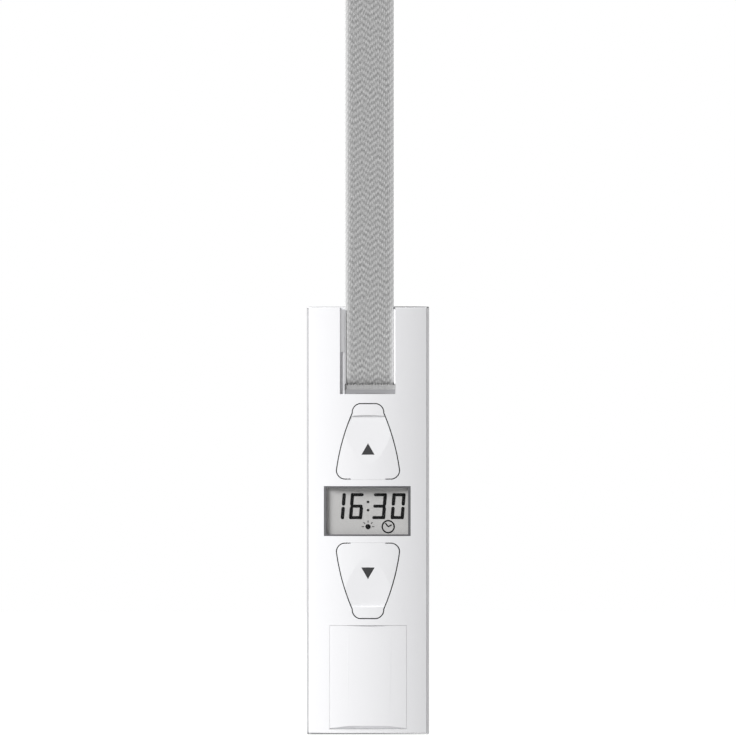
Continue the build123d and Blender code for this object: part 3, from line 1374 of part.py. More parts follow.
# Rubber grommet of the mains inlet, in the bottom wall
with BuildPart() as cable_grommet:
    bar_z(0, inlet_y, -housing_height / 2, housing_floor, grommet_radius)
    bar_z(0, inlet_y, -housing_height / 2 - grommet_flange, -housing_height / 2, grommet_flange_radius)
    bar_z(0, inlet_y, housing_floor, housing_floor + grommet_flange, grommet_flange_radius)
    bar_z(0, inlet_y, -housing_height, 0, cable_bore_radius, mode=Mode.SUBTRACT)
cable_grommet.part.label = "cable_grommet"
export_step(cable_grommet.part, "parts/cable_grommet.step")

# Power supply between the reel and the motor, and the terminals for the mains
board_z = worm_z + motor_radius + power_board_gap
power_board_top = board_z + power_board_thickness
with BuildPart() as power_board:
    slab((-inner_wall, power_board_front, board_z),
         (power_board_width - inner_wall, power_board_back, power_board_top))
power_board.part.label = "power_board"
export_step(power_board.part, "parts/power_board.step")

with BuildPart() as transformer:
    length = transformer_length / 2
    middle = (0, transformer_y)
    slab((middle[0] - length, middle[1] - transformer_size / 2, power_board_top),
         (middle[0] + length, middle[1] + transformer_size / 2, power_board_top + transformer_size))
    fillet(transformer.edges().filter_by(Axis.Z), transformer_rounding)
transformer.part.label = "transformer"
export_step(transformer.part, "parts/transformer.step")

with BuildPart() as supply_capacitors:
    capacitor_y = transformer_y - transformer_size / 2 - capacitor_gap - capacitor_radius
    for x in capacitor_places:
        bar_z(x, capacitor_y, power_board_top, power_board_top + capacitor_height, capacitor_radius)
supply_capacitors.part.label = "supply_capacitors"
export_step(supply_capacitors.part, "parts/supply_capacitors.step")

with BuildPart() as terminal_block:
    block_half = terminal_block_width / 2
    slab((-block_half, terminal_block_y, housing_floor),
         (block_half, terminal_block_y + terminal_block_length, housing_floor + terminal_block_height))
    block_middle = terminal_block_y + terminal_block_length / 2
    block_top = housing_floor + terminal_block_height
    wire_z = housing_floor + 2 * terminal_wire_radius
    for x in (-terminal_pitch, 0, terminal_pitch):
        bar_y(x, wire_z, terminal_block_y - 1, block_middle, terminal_wire_radius, mode=Mode.SUBTRACT)
        bar_z(x, block_middle, wire_z, block_top + 1, terminal_screw_radius, mode=Mode.SUBTRACT)
terminal_block.part.label = "terminal_block"
export_step(terminal_block.part, "parts/terminal_block.step")
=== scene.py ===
import json
from math import acos, atan2, cos, hypot, pi, radians, sin, tan

import bpy
import numpy as np
from bpy.props import FloatProperty, FloatVectorProperty, IntProperty, PointerProperty, StringProperty
from mathutils import Matrix, Vector

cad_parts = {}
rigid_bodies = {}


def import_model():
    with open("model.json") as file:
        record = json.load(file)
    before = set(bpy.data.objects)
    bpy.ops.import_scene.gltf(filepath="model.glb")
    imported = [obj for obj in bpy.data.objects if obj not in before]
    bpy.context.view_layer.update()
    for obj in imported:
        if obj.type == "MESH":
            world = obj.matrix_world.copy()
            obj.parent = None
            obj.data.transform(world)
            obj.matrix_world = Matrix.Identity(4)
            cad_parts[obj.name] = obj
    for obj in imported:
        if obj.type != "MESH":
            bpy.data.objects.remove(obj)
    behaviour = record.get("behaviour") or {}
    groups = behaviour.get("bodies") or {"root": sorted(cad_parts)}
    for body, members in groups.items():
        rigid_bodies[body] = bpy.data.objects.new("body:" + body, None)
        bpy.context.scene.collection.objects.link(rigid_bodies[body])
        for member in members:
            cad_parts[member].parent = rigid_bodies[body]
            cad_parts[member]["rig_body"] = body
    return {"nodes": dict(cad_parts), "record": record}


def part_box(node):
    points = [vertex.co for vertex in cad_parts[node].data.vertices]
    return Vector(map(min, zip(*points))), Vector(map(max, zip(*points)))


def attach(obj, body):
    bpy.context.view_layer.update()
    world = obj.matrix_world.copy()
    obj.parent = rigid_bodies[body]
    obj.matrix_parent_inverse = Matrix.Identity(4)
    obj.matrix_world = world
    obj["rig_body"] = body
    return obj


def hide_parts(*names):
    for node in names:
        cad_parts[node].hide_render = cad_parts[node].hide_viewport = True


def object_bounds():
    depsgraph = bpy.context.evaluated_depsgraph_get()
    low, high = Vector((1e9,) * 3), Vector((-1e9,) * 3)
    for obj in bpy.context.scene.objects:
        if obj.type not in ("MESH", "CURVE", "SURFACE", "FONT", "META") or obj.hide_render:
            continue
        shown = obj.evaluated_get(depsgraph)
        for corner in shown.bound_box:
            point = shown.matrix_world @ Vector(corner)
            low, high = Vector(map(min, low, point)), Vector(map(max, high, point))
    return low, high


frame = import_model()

bl_info = {
    "name": "Roller Shutter Belt Winder",
    "version": (1, 0, 0),
    "blender": (4, 5, 0),
    "location": "View3D > Sidebar > Belt Winder",
    "description": "Dresses a roller shutter belt winder: mouldings, keys, clock display, woven belt and stage",
    "category": "Object",
}

# Sizes are in metres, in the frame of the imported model: X to the right, Y into the wall, Z up
mm = 0.001
cad_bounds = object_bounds()
nodes = frame["nodes"]

# Points nearer than the merge distance are one, faces that meet at less than the flat angle are one,
# edges sharper than the edge angle are rounded, and faces under a smooth angle shade as one surface
merge_distance = 0.001 * mm
flat_angle = radians(0.2)
edge_angle = radians(38)
smooth_angle = radians(40)
belt_smooth_angle = radians(60)

# Cover: a shell whose front is bowed across its width
cover_low, cover_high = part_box("front_cover")
cover_depth = -cover_low.y
cover_bow = 4 * mm
cover_half_width = cover_high.x
bow_radius = cover_half_width**2 / (2 * cover_bow) + cover_bow / 2
bow_slack = 0.03 * mm
flap_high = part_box("service_flap")[1]

# Tongues of the two keys, mirrored about the display
tongue_half_width = 8.6 * mm
tongue_z = 20.0 * mm
tongue_z_slack = 1.2 * mm
tongue_back = -14.5 * mm

# Belt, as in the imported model
belt_low, belt_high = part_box("belt_strap")
belt_width = belt_high.x - belt_low.x
belt_thickness = belt_high.y - belt_low.y
belt_x = (belt_low.x + belt_high.x) / 2
belt_y = (belt_low.y + belt_high.y) / 2
roller_low, roller_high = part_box("guide_roller")
roller_y = (roller_low.y + roller_high.y) / 2
roller_z = belt_low.z
box_guide_z = belt_high.z
bend_radius = roller_y - belt_y
belt_wall_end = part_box("belt_upper_turn")[1].y

# Weave: the long threads rise and dip in steps of a quarter float and turn back every few threads
zigzag_threads = 4
zigzag_shift = 0.25
wave_reach = 0.6
edge_thinning = 0.5

# Belt slot in the cover: its floor starts above the window through which the belt goes in
slot_left = belt_low.x - 2.4 * mm
slot_right = belt_high.x + 0.8 * mm
slot_bottom = cover_high.z - 41.5 * mm
slot_floor_bottom = slot_bottom + 19.8 * mm
slot_floor_y = -13.5 * mm

# Wound belt: half turns about two centres a quarter pitch to each side of the reel's axis
reel_low, reel_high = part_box("reel_flange")
reel_centre = ((reel_low.y + reel_high.y) / 2, (reel_low.z + reel_high.z) / 2)
coil_turns = 12
coil_pitch = 1.8 * mm
coil_start_radius = 16.9 * mm
coil_end_radius = coil_start_radius + (2 * coil_turns - 1) * coil_pitch / 2
coil_run_gap = 0.35 * mm
run_radius = coil_end_radius + coil_pitch / 4 + coil_run_gap + belt_thickness
axes_distance = hypot(roller_y - reel_centre[0], roller_z - reel_centre[1])
axes_angle = atan2(roller_z - reel_centre[1], roller_y - reel_centre[0])
run_angle = axes_angle - acos((bend_radius + run_radius) / axes_distance)

# Display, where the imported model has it
lcd_low, lcd_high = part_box("lcd_glass")
display_x = (lcd_low.x + lcd_high.x) / 2
display_z = (lcd_low.z + lcd_high.z) / 2
segment_thickness = 0.05 * mm
segment_back = lcd_low.y - 0.01 * mm

# Photograph's frame: 736 pixels of 0.473 mm, with the belt winder's foot at the lower edge
photo_pixels = 736
pixel = 0.473 * mm
photo_middle_z = 72.3 * mm


def colour(value):
    """Linear RGBA of an sRGB hex value."""
    channels = [(value >> shift & 255) / 255 for shift in (16, 8, 0)]
    return tuple(c / 12.92 if c <= 0.04045 else ((c + 0.055) / 1.055) ** 2.4 for c in channels) + (1.0,)


def add_node(tree, kind, feeds=None, **settings):
    """Adds a shader node. feeds maps its inputs to values or to the outputs that feed them."""
    node = tree.nodes.new(kind)
    for key, value in settings.items():
        setattr(node, key, value)
    for key, value in (feeds or {}).items():
        if isinstance(value, bpy.types.NodeSocket):
            tree.links.new(value, node.inputs[key])
        else:
            node.inputs[key].default_value = value
    return node


def new_material(name):
    """Empty material with its shader, as (material, tree, shader)."""
    material = bpy.data.materials.new(name)
    material.use_nodes = True
    tree = material.node_tree
    tree.nodes.clear()
    shader = add_node(tree, "ShaderNodeBsdfPrincipled")
    add_node(tree, "ShaderNodeOutputMaterial", {"Surface": shader.outputs["BSDF"]})
    return material, tree, shader


def object_place(tree):
    """Place on the piece, in its own coordinates."""
    return add_node(tree, "ShaderNodeTexCoord").outputs["Object"]


def noise(tree, place, size, detail=2.0):
    """Noise whose clouds are about one size."""
    clouds = add_node(tree, "ShaderNodeTexNoise", {"Vector": place, "Scale": 1 / size, "Detail": detail})
    return clouds.outputs["Fac"]


def paint(tree, shader, factor, first, second):
    """Feeds the shader's colour with a blend of two colours."""
    mix = add_node(tree, "ShaderNodeMix", {0: factor, 6: first, 7: second}, data_type="RGBA")
    tree.links.new(mix.outputs[2], shader.inputs["Base Color"])


def emboss(tree, shader, height, distance, strength):
    """Feeds the shader's normal from a height."""
    bump = add_node(tree, "ShaderNodeBump", {"Height": height, "Distance": distance, "Strength": strength})
    tree.links.new(bump.outputs["Normal"], shader.inputs["Normal"])


def moulded_plastic(name, tone, roughness, ior, grain, depth, drift):
    """Moulded plastic: a fine eroded grain from the mould dulls the gloss, and the tone drifts a little."""
    material, tree, shader = new_material(name)
    place = object_place(tree)
    dark = tuple(c * (1 - drift) for c in tone[:3]) + (1.0,)
    paint(tree, shader, noise(tree, place, 40 * mm), dark, tone)
    emboss(tree, shader, noise(tree, place, grain, 3.0), depth, 1.0)
    shader.inputs["Roughness"].default_value = roughness
    shader.inputs["IOR"].default_value = ior
    return material


def turned_metal(name, light, dark, roughness, groove):
    """Machined metal: fine grooves from the cutting tool streak the reflections."""
    material, tree, shader = new_material(name)
    stretch = add_node(tree, "ShaderNodeMapping", {"Vector": object_place(tree), "Scale": (1.0, 0.08, 0.08)})
    streaks = noise(tree, stretch.outputs["Vector"], groove, 4.0)
    paint(tree, shader, streaks, dark, light)
    emboss(tree, shader, streaks, 0.004 * mm, 0.6)
    shader.inputs["Metallic"].default_value = 1.0
    shader.inputs["Roughness"].default_value = roughness
    return material


def woven_polyester(name, looks):
    """Woven polyester belt: a zigzag twill of long threads with painted shade where they dip, and paler yarn along
    both edges, wider on the left as a painted highlight.
    """
    material, tree, shader = new_material(name)
    place = add_node(tree, "ShaderNodeUVMap", uv_map="belt").outputs["UV"]
    parts = add_node(tree, "ShaderNodeSeparateXYZ", {0: place})

    def maths(operation, *values):
        """Output of a Math node."""
        return add_node(tree, "ShaderNodeMath", dict(enumerate(values)), operation=operation).outputs[0]

    across = maths("DIVIDE", parts.outputs["X"], looks.thread_width)
    zigzag = maths("PINGPONG", maths("FLOOR", across), float(zigzag_threads))
    along = maths("DIVIDE", parts.outputs["Y"], looks.float_length)
    wave = maths("COSINE", maths("MULTIPLY", maths("MULTIPLY_ADD", zigzag, zigzag_shift, along), 2 * pi))
    on_top = add_node(tree, "ShaderNodeMapRange", {"Value": wave, "From Min": -wave_reach, "From Max": wave_reach})
    round_thread = maths("SINE", maths("MULTIPLY", maths("FRACT", across), pi))
    height = maths("MULTIPLY", on_top.outputs[0], round_thread)
    # Single fibres are too fine to show, so the noise stands for small bundles of them
    bundle = (1 / (0.7 * mm), 1 / (1.6 * mm), 1.0)
    stretch = add_node(tree, "ShaderNodeMapping", {"Vector": place, "Scale": bundle})
    fibres = noise(tree, stretch.outputs["Vector"], 1.0, 3.0)
    uneven = add_node(tree, "ShaderNodeMapRange", {"Value": fibres, "From Min": 0.36, "From Max": 0.64})
    # The tone mixes uneven yarn with the threads' height, so the dips are painted darker as shade
    tone = maths("MULTIPLY_ADD", uneven.outputs[0], looks.yarn_variation,
                 maths("MULTIPLY", height, 1 - looks.yarn_variation))
    weave = add_node(tree, "ShaderNodeMix", {0: tone, 6: tuple(looks.belt_dip_shade) + (1.0,),
                                             7: tuple(looks.belt_light) + (1.0,)}, data_type="RGBA")
    # Paler yarn at both edges; the wider band on the left also paints the highlight where the light falls on the
    # belt's left edge
    left, right = (add_node(tree, "ShaderNodeMapRange", {"Value": parts.outputs["X"], "From Min": edge,
                                                         "From Max": inside, "To Min": 1.0, "To Max": 0.0})
                   for edge, inside in ((0.0, looks.pale_and_lit_left), (belt_width, belt_width - looks.pale_right)))
    pale = maths("POWER", maths("MAXIMUM", left.outputs[0], right.outputs[0]), 1.5)
    paint(tree, shader, pale, weave.outputs[2], colour(0xDEDEDE))
    emboss(tree, shader, tone, 0.06 * mm, 0.5)
    shader.inputs["Roughness"].default_value = 0.85
    shader.inputs["IOR"].default_value = 1.5
    shader.inputs["Sheen Weight"].default_value = 0.15
    shader.inputs["Sheen Roughness"].default_value = 0.5
    return material


def clear_acrylic(name):
    """Clear moulded acrylic: almost all light goes straight through, and a faint gloss is left."""
    material, tree, shader = new_material(name)
    paint(tree, shader, noise(tree, object_place(tree), 12 * mm), colour(0x8A8C8D), colour(0x9A9C9D))
    shader.inputs["Roughness"].default_value = 0.04
    shader.inputs["IOR"].default_value = 1.49
    shader.inputs["Alpha"].default_value = 0.02
    return material


def reflective_glass(name):
    """Liquid crystal glass over a matt reflector: an even grey with a very fine grain."""
    material, tree, shader = new_material(name)
    paint(tree, shader, noise(tree, object_place(tree), 0.5 * mm), colour(0xBEBDBC), colour(0xCAC9C8))
    shader.inputs["Roughness"].default_value = 0.35
    shader.inputs["IOR"].default_value = 1.5
    return material


def dark_segments(name):
    """Switched liquid crystal: it soaks up the light behind the glass and has next to no gloss of its own."""
    material = moulded_plastic(name, colour(0x050506), 0.6, 1.5, 0.5 * mm, 0.0005 * mm, 0.3)
    shader = next(node for node in material.node_tree.nodes if node.type == "BSDF_PRINCIPLED")
    shader.inputs["Specular IOR Level"].default_value = 0.05
    return material


def solder_mask(name):
    """Circuit board: dark matt solder mask, a little lighter where copper tracks run under it."""
    material, tree, shader = new_material(name)
    turned = add_node(tree, "ShaderNodeMapping", {"Vector": object_place(tree), "Rotation": (pi / 2, 0.0, 0.0)})
    tracks = add_node(tree, "ShaderNodeTexBrick",
                      {"Vector": turned.outputs["Vector"], "Scale": 1.0, "Mortar Size": 0.35 * mm,
                       "Brick Width": 5.0 * mm, "Row Height": 2.2 * mm, "Color1": colour(0x26282A),
                       "Color2": colour(0x2B2D2F), "Mortar": colour(0x45484B)})
    tree.links.new(tracks.outputs["Color"], shader.inputs["Base Color"])
    emboss(tree, shader, tracks.outputs["Fac"], 0.035 * mm, 0.6)
    shader.inputs["Roughness"].default_value = 0.45
    shader.inputs["IOR"].default_value = 1.5
    return material


def make_finishes(looks):
    """One material for each slot of the part's record."""
    white = tuple(looks.cover_tone) + (1.0,)
    # Slot, material, tone, roughness, IOR, size and depth of the grain in mm, drift of the tone
    plastics = (
        # Smooth satin ABS with a soft highlight
        ("cover_plastic", "satin_white_abs", white, 0.42, 1.53, 0.35, 0.0015, 0.02),
        # The same ABS from a more polished mould
        ("key_plastic", "polished_white_abs", white, 0.36, 1.53, 0.4, 0.001, 0.02),
        # Second shot of dark ABS, flush in the key
        ("print_grey", "dark_grey_abs", colour(0x202022), 0.5, 1.53, 0.3, 0.001, 0.08),
        # Dark polycarbonate with an eroded matt face
        ("bezel_plastic", "grey_polycarbonate", colour(0x5C5C5F), 0.5, 1.58, 0.3, 0.003, 0.06),
        # Soft rubber with a dull skin
        ("strip_rubber", "conductive_rubber", colour(0x1B1B1C), 0.8, 1.52, 0.3, 0.006, 0.2),
        # Black epoxy and nylon of the electric parts
        ("component_plastic", "black_nylon", colour(0x18181A), 0.55, 1.53, 0.25, 0.006, 0.2),
        # Light grey glass-filled nylon with a rough eroded face
        ("plate_plastic", "light_grey_nylon", colour(0xD6D6D8), 0.6, 1.53, 0.5, 0.012, 0.05),
        # Plain polypropylene from a coarse mould, dull and slightly uneven
        ("housing_plastic", "light_grey_polypropylene", colour(0xD2D2D4), 0.55, 1.49, 0.6, 0.015, 0.05),
        # Ivory acetal, slightly waxy
        ("gear_plastic", "ivory_acetal", colour(0xE3E0D6), 0.4, 1.48, 0.4, 0.003, 0.04),
        # The same acetal, polished by the belt
        ("roller_plastic", "smooth_acetal", colour(0xDCDAD2), 0.35, 1.48, 0.4, 0.003, 0.05),
        # Matt rubber that gives next to no highlight
        ("grommet_rubber", "black_rubber", colour(0x19191A), 0.8, 1.52, 0.4, 0.01, 0.25),
        # Sintered ferrite, a dull charcoal grey
        ("magnet", "sintered_ferrite", colour(0x3A3A3D), 0.7, 2.0, 0.2, 0.01, 0.25),
        # Yellow polyester tape wound round a core
        ("transformer_tape", "yellow_polyester_tape", colour(0xD8B23A), 0.35, 1.6, 0.8, 0.01, 0.1),
    )
    made = {slot: moulded_plastic(name, tone, roughness, ior, grain * mm, depth * mm, drift)
            for slot, name, tone, roughness, ior, grain, depth, drift in plastics}
    # Slot, material, light and dark tone, roughness, distance of the grooves in mm
    metals = (
        # Bright zinc with a bluish cast
        ("steel", "zinc_plated_steel", 0xC9CBCF, 0x9EA1A7, 0.32, 0.3),
        # Freshly cut brass with a warm gloss
        ("brass", "cut_brass", 0xD9B36A, 0xB98E45, 0.3, 0.3),
        # Stacked iron sheets under copper coloured lacquer
        ("armature", "lacquered_laminations", 0xA9744A, 0x6E5A4C, 0.45, 0.5),
    )
    for slot, name, light, dark, roughness, groove in metals:
        made[slot] = turned_metal(name, colour(light), colour(dark), roughness, groove * mm)
    made["clear_window"] = clear_acrylic("clear_acrylic")
    made["lcd"] = reflective_glass("liquid_crystal_glass")
    made["circuit_board"] = solder_mask("matt_black_solder_mask")
    made["belt_fabric"] = woven_polyester("woven_grey_polyester", looks)
    return made


# Materials by slot, made by the first operator
finishes = {}


def finish(piece, slot):
    """Gives a piece the material of one of the record's slots."""
    piece.data.materials.clear()
    piece.data.materials.append(finishes[slot])


def node_slot(node):
    """Material slot of a node in the part's record."""
    for subpart in frame["record"]["subparts"]:
        if subpart["node"] == node:
            return subpart["material_slot"]
    raise ValueError(f"the record has no node {node}")


def only(piece):
    """Deselects everything and makes one piece active."""
    bpy.ops.object.select_all(action="DESELECT")
    piece.select_set(True)
    bpy.context.view_layer.objects.active = piece


def linked(name, mesh):
    """New object in the scene."""
    piece = bpy.data.objects.new(name, mesh)
    bpy.context.scene.collection.objects.link(piece)
    return piece


def primitive(add, location=(0, 0, 0), **shape):
    """New primitive from one of Blender's add operators, the only selected object."""
    bpy.ops.object.select_all(action="DESELECT")
    add(location=location, **shape)
    return bpy.context.object


def face_outwards(piece):
    """Turns every face of a piece outwards."""
    only(piece)
    bpy.ops.object.mode_set(mode="EDIT")
    bpy.ops.mesh.select_all(action="SELECT")
    bpy.ops.mesh.normals_make_consistent(inside=False)
    bpy.ops.object.mode_set(mode="OBJECT")


def node_copy(node):
    """Copy of a node's solid with its triangles joined to whole faces."""
    piece = linked(node + "_moulding", nodes[node].data.copy())
    only(piece)
    bpy.ops.object.mode_set(mode="EDIT")
    bpy.ops.mesh.select_all(action="SELECT")
    bpy.ops.mesh.remove_doubles(threshold=merge_distance)
    bpy.ops.mesh.dissolve_limited(angle_limit=flat_angle)
    bpy.ops.object.mode_set(mode="OBJECT")
    return piece


def round_edges(piece, width, keep_sharp=None):
    """Rounds every sharp edge of a piece, except where keep_sharp says no, and evens out its shading."""
    only(piece)
    bpy.ops.object.mode_set(mode="EDIT")
    bpy.ops.mesh.select_all(action="DESELECT")
    bpy.ops.mesh.select_mode(type="EDGE")
    bpy.ops.mesh.edges_select_sharp(sharpness=edge_angle)
    bpy.ops.object.mode_set(mode="OBJECT")
    mesh = piece.data
    weights = mesh.attributes.new("bevel_weight_edge", "FLOAT", "EDGE")
    for edge in mesh.edges:
        if edge.select:
            middle = (mesh.vertices[edge.vertices[0]].co + mesh.vertices[edge.vertices[1]].co) / 2
            weights.data[edge.index].value = 0.0 if keep_sharp and keep_sharp(middle) else 1.0
    bevel = piece.modifiers.new("rounding", "BEVEL")
    bevel.width = width
    bevel.segments = 2
    bevel.limit_method = "WEIGHT"
    bevel.use_clamp_overlap = True
    bpy.ops.object.modifier_apply(modifier=bevel.name)
    bpy.ops.object.shade_smooth_by_angle(angle=smooth_angle)
    weighting = piece.modifiers.new("weighting", "WEIGHTED_NORMAL")
    weighting.keep_sharp = True
    bpy.ops.object.modifier_apply(modifier=weighting.name)


def bow_y(x):
    """Y of the cover's bowed front at x, a number or an array."""
    return bow_radius - cover_depth - np.sqrt(bow_radius**2 - x**2)


def shade_bow(piece):
    """Shades the strips of a bowed front as one smooth curve, and each flat face of the front as flat."""
    faces_front = -0.9
    smallest_flat = 3 * mm**2
    mesh = piece.data
    points = np.empty(len(mesh.vertices) * 3)
    mesh.vertices.foreach_get("co", points)
    points = points.reshape(-1, 3)
    across = np.clip(points[:, 0], cover_low.x, cover_high.x)
    on_bow = np.abs(points[:, 1] - bow_y(across)) < bow_slack
    bow_normals = np.stack([across, -np.sqrt(bow_radius**2 - across**2), 0 * across], axis=1) / bow_radius
    normals = np.empty(len(mesh.loops) * 3)
    mesh.corner_normals.foreach_get("vector", normals)
    normals = normals.reshape(-1, 3)
    for face in mesh.polygons:
        if face.normal.y > faces_front:
            continue
        corners = list(face.vertices)
        loops = slice(face.loop_start, face.loop_start + face.loop_total)
        if on_bow[corners].all():
            normals[loops] = bow_normals[corners]
        elif face.area > smallest_flat:
            normals[loops] = face.normal
    mesh.normals_split_custom_set(normals.tolist())


def stands_for(piece, node):
    """Gives a piece its node's finish, makes it ride with the node's body and hides the node."""
    slot = node_slot(node)
    finish(piece, slot)
    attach(piece, nodes[node]["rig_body"])
    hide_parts(node)
    return piece


def rounded_copy(node, width, keep_sharp=None):
    """Copy of a node's solid with rounded edges, which stands for the node."""
    piece = node_copy(node)
    round_edges(piece, width, keep_sharp)
    return stands_for(piece, node)


def polar(centre, radius, angle):
    """Point on a circle, in Y and Z or in X and Z."""
    return (centre[0] + radius * cos(angle), centre[1] + radius * sin(angle))


def arc(centre, radius, start, end, step):
    """Points on an arc, about one step apart, from a start angle to an end angle."""
    count = max(2, round(abs(end - start) * radius / step))
    return [polar(centre, radius, start + (end - start) * i / count) for i in range(count + 1)]


def straight(start, end, step):
    """Points on a straight line in Y and Z, about one step apart."""
    count = max(1, round(hypot(end[0] - start[0], end[1] - start[1]) / step))
    return [(start[0] + (end[0] - start[0]) * i / count, start[1] + (end[1] - start[1]) * i / count)
            for i in range(count + 1)]


def weave_height(across, length, looks, relief):
    """Height of the belt's face over its middle, for places across it at each length along it."""
    from_edge = np.minimum(across, belt_width - across)
    selvedge = np.clip(1 - from_edge / looks.selvedge, 0, 1)
    half = belt_thickness / 2 * (1 - edge_thinning * selvedge**2)
    last_thread = round(belt_width / looks.thread_width) - 1
    number = np.minimum(np.floor(across / looks.thread_width), last_thread)
    zigzag = zigzag_threads - np.abs(np.mod(number, 2 * zigzag_threads) - zigzag_threads)
    thread = np.sin(pi * np.mod(across / looks.thread_width, 1.0))
    wave = np.cos(2 * pi * (length[:, None] / looks.float_length + zigzag_shift * zigzag[None, :]))
    on_top = np.clip((wave + wave_reach) / (2 * wave_reach), 0, 1)
    return half[None, :] - relief * (1 - thread[None, :] * on_top)


def belt_strip(name, line, body, node, looks, columns, relief, end_at=0.0):
    """Belt along a line of points in Y and Z, with its threads in relief and its length in the UV map."""
    line = np.array(line)
    apart = np.hypot(*np.diff(line, axis=0).T)
    line = line[np.concatenate([[True], apart > merge_distance])]
    steps = np.hypot(*np.diff(line, axis=0).T)
    length = np.concatenate([[0.0], np.cumsum(steps)])
    length += end_at - length[-1]
    tangent = np.gradient(line, axis=0)
    tangent /= np.linalg.norm(tangent, axis=1)[:, None]
    normal = np.stack([-tangent[:, 1], tangent[:, 0]], axis=1)
    across = np.linspace(0.0, belt_width, columns + 1)
    front = weave_height(across, length, looks, relief)
    height = np.concatenate([front, -front[:, ::-1]], axis=1)
    x = np.concatenate([across, across[::-1]]) + belt_x - belt_width / 2
    rows, ring = height.shape
    points = np.empty((rows, ring, 3))
    points[:, :, 0] = x[None, :]
    points[:, :, 1] = line[:, 0][:, None] + normal[:, 0][:, None] * height
    points[:, :, 2] = line[:, 1][:, None] + normal[:, 1][:, None] * height
    index = np.arange(rows * ring).reshape(rows, ring)
    following = np.roll(index, -1, axis=1)
    faces = np.stack([index[:-1], following[:-1], following[1:], index[1:]], axis=-1).reshape(-1, 4).tolist()
    faces.append(index[0].tolist()[::-1])
    faces.append(index[-1].tolist())
    mesh = bpy.data.meshes.new(name)
    mesh.from_pydata(points.reshape(-1, 3).tolist(), [], faces)
    uv = np.empty((rows, ring, 2))
    uv[:, :, 0] = np.concatenate([across, across[::-1]])[None, :]
    uv[:, :, 1] = length[:, None]
    corner = np.empty(len(mesh.loops), dtype=np.int64)
    mesh.loops.foreach_get("vertex_index", corner)
    layer = mesh.uv_layers.new(name="belt")
    layer.data.foreach_set("uv", uv.reshape(-1, 2)[corner].ravel())
    piece = linked(name, mesh)
    face_outwards(piece)
    bpy.ops.object.shade_smooth_by_angle(angle=belt_smooth_angle)
    finish(piece, "belt_fabric")
    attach(piece, body)
    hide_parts(node)
    return piece


def route_points(points):
    """Points on the smooth spline of a cord's route."""
    curve = bpy.data.curves.new("belt_route", "CURVE")
    curve.dimensions = "3D"
    spline = curve.splines.new("NURBS")
    spline.points.add(len(points) - 1)
    for knot, point in zip(spline.points, points):
        knot.co = (*point, 1.0)
    spline.order_u = 3
    spline.use_endpoint_u = True
    route = linked("belt_route", curve)
    mesh = bpy.data.meshes.new_from_object(route)
    read = [tuple(vertex.co) for vertex in mesh.vertices]
    bpy.data.objects.remove(route)
    bpy.data.meshes.remove(mesh)
    return read


def laid_on_glass(piece, centre, turn=0.0):
    """Gives a flat piece in edit mode the segments' thickness and stands it on the display's glass."""
    bpy.ops.mesh.extrude_region_move(TRANSFORM_OT_translate={"value": (0, 0, segment_thickness)})
    bpy.ops.object.mode_set(mode="OBJECT")
    piece.data.transform(Matrix.Translation((centre[0], segment_back, centre[1]))
                         @ Matrix.Rotation(-turn, 4, "Y") @ Matrix.Rotation(pi / 2, 4, "X"))
    return piece


def flat_bar(centre, length, width, turn):
    """Bar of the display with round ends, its long way turned from X towards Z."""
    round_share = 0.47
    piece = primitive(bpy.ops.mesh.primitive_plane_add, size=1)
    bpy.ops.object.mode_set(mode="EDIT")
    bpy.ops.mesh.select_all(action="SELECT")
    bpy.ops.transform.resize(value=(length, width, 1))
    bpy.ops.mesh.bevel(offset=round_share * min(length, width), segments=3, affect="VERTICES")
    bpy.ops.mesh.select_all(action="SELECT")
    return laid_on_glass(piece, centre, turn)


def flat_disc(centre, inner, outer):
    """Flat round or ring on the glass."""
    piece = primitive(bpy.ops.mesh.primitive_circle_add, vertices=48, radius=outer, fill_type="NGON")
    bpy.ops.object.mode_set(mode="EDIT")
    bpy.ops.mesh.select_all(action="SELECT")
    if inner > 0:
        bpy.ops.mesh.inset(thickness=outer - inner, depth=0)
        bpy.ops.mesh.delete(type="FACE")
        bpy.ops.mesh.select_all(action="SELECT")
    return laid_on_glass(piece, centre)


def box(name, low, high):
    """Box between two corners, with its place in its mesh."""
    piece = primitive(bpy.ops.mesh.primitive_cube_add, size=1)
    piece.name = name
    low, high = Vector(low), Vector(high)
    size = high - low
    piece.data.transform(Matrix.Translation((low + high) / 2) @ Matrix.Diagonal((*size, 1)))
    return piece


def joined(pieces, name):
    """Pieces made one object with outward faces."""
    bpy.ops.object.select_all(action="DESELECT")
    for piece in pieces:
        piece.select_set(True)
    bpy.context.view_layer.objects.active = pieces[0]
    bpy.ops.object.join()
    piece = bpy.context.view_layer.objects.active
    piece.name = name
    piece.data.name = name
    face_outwards(piece)
    return piece


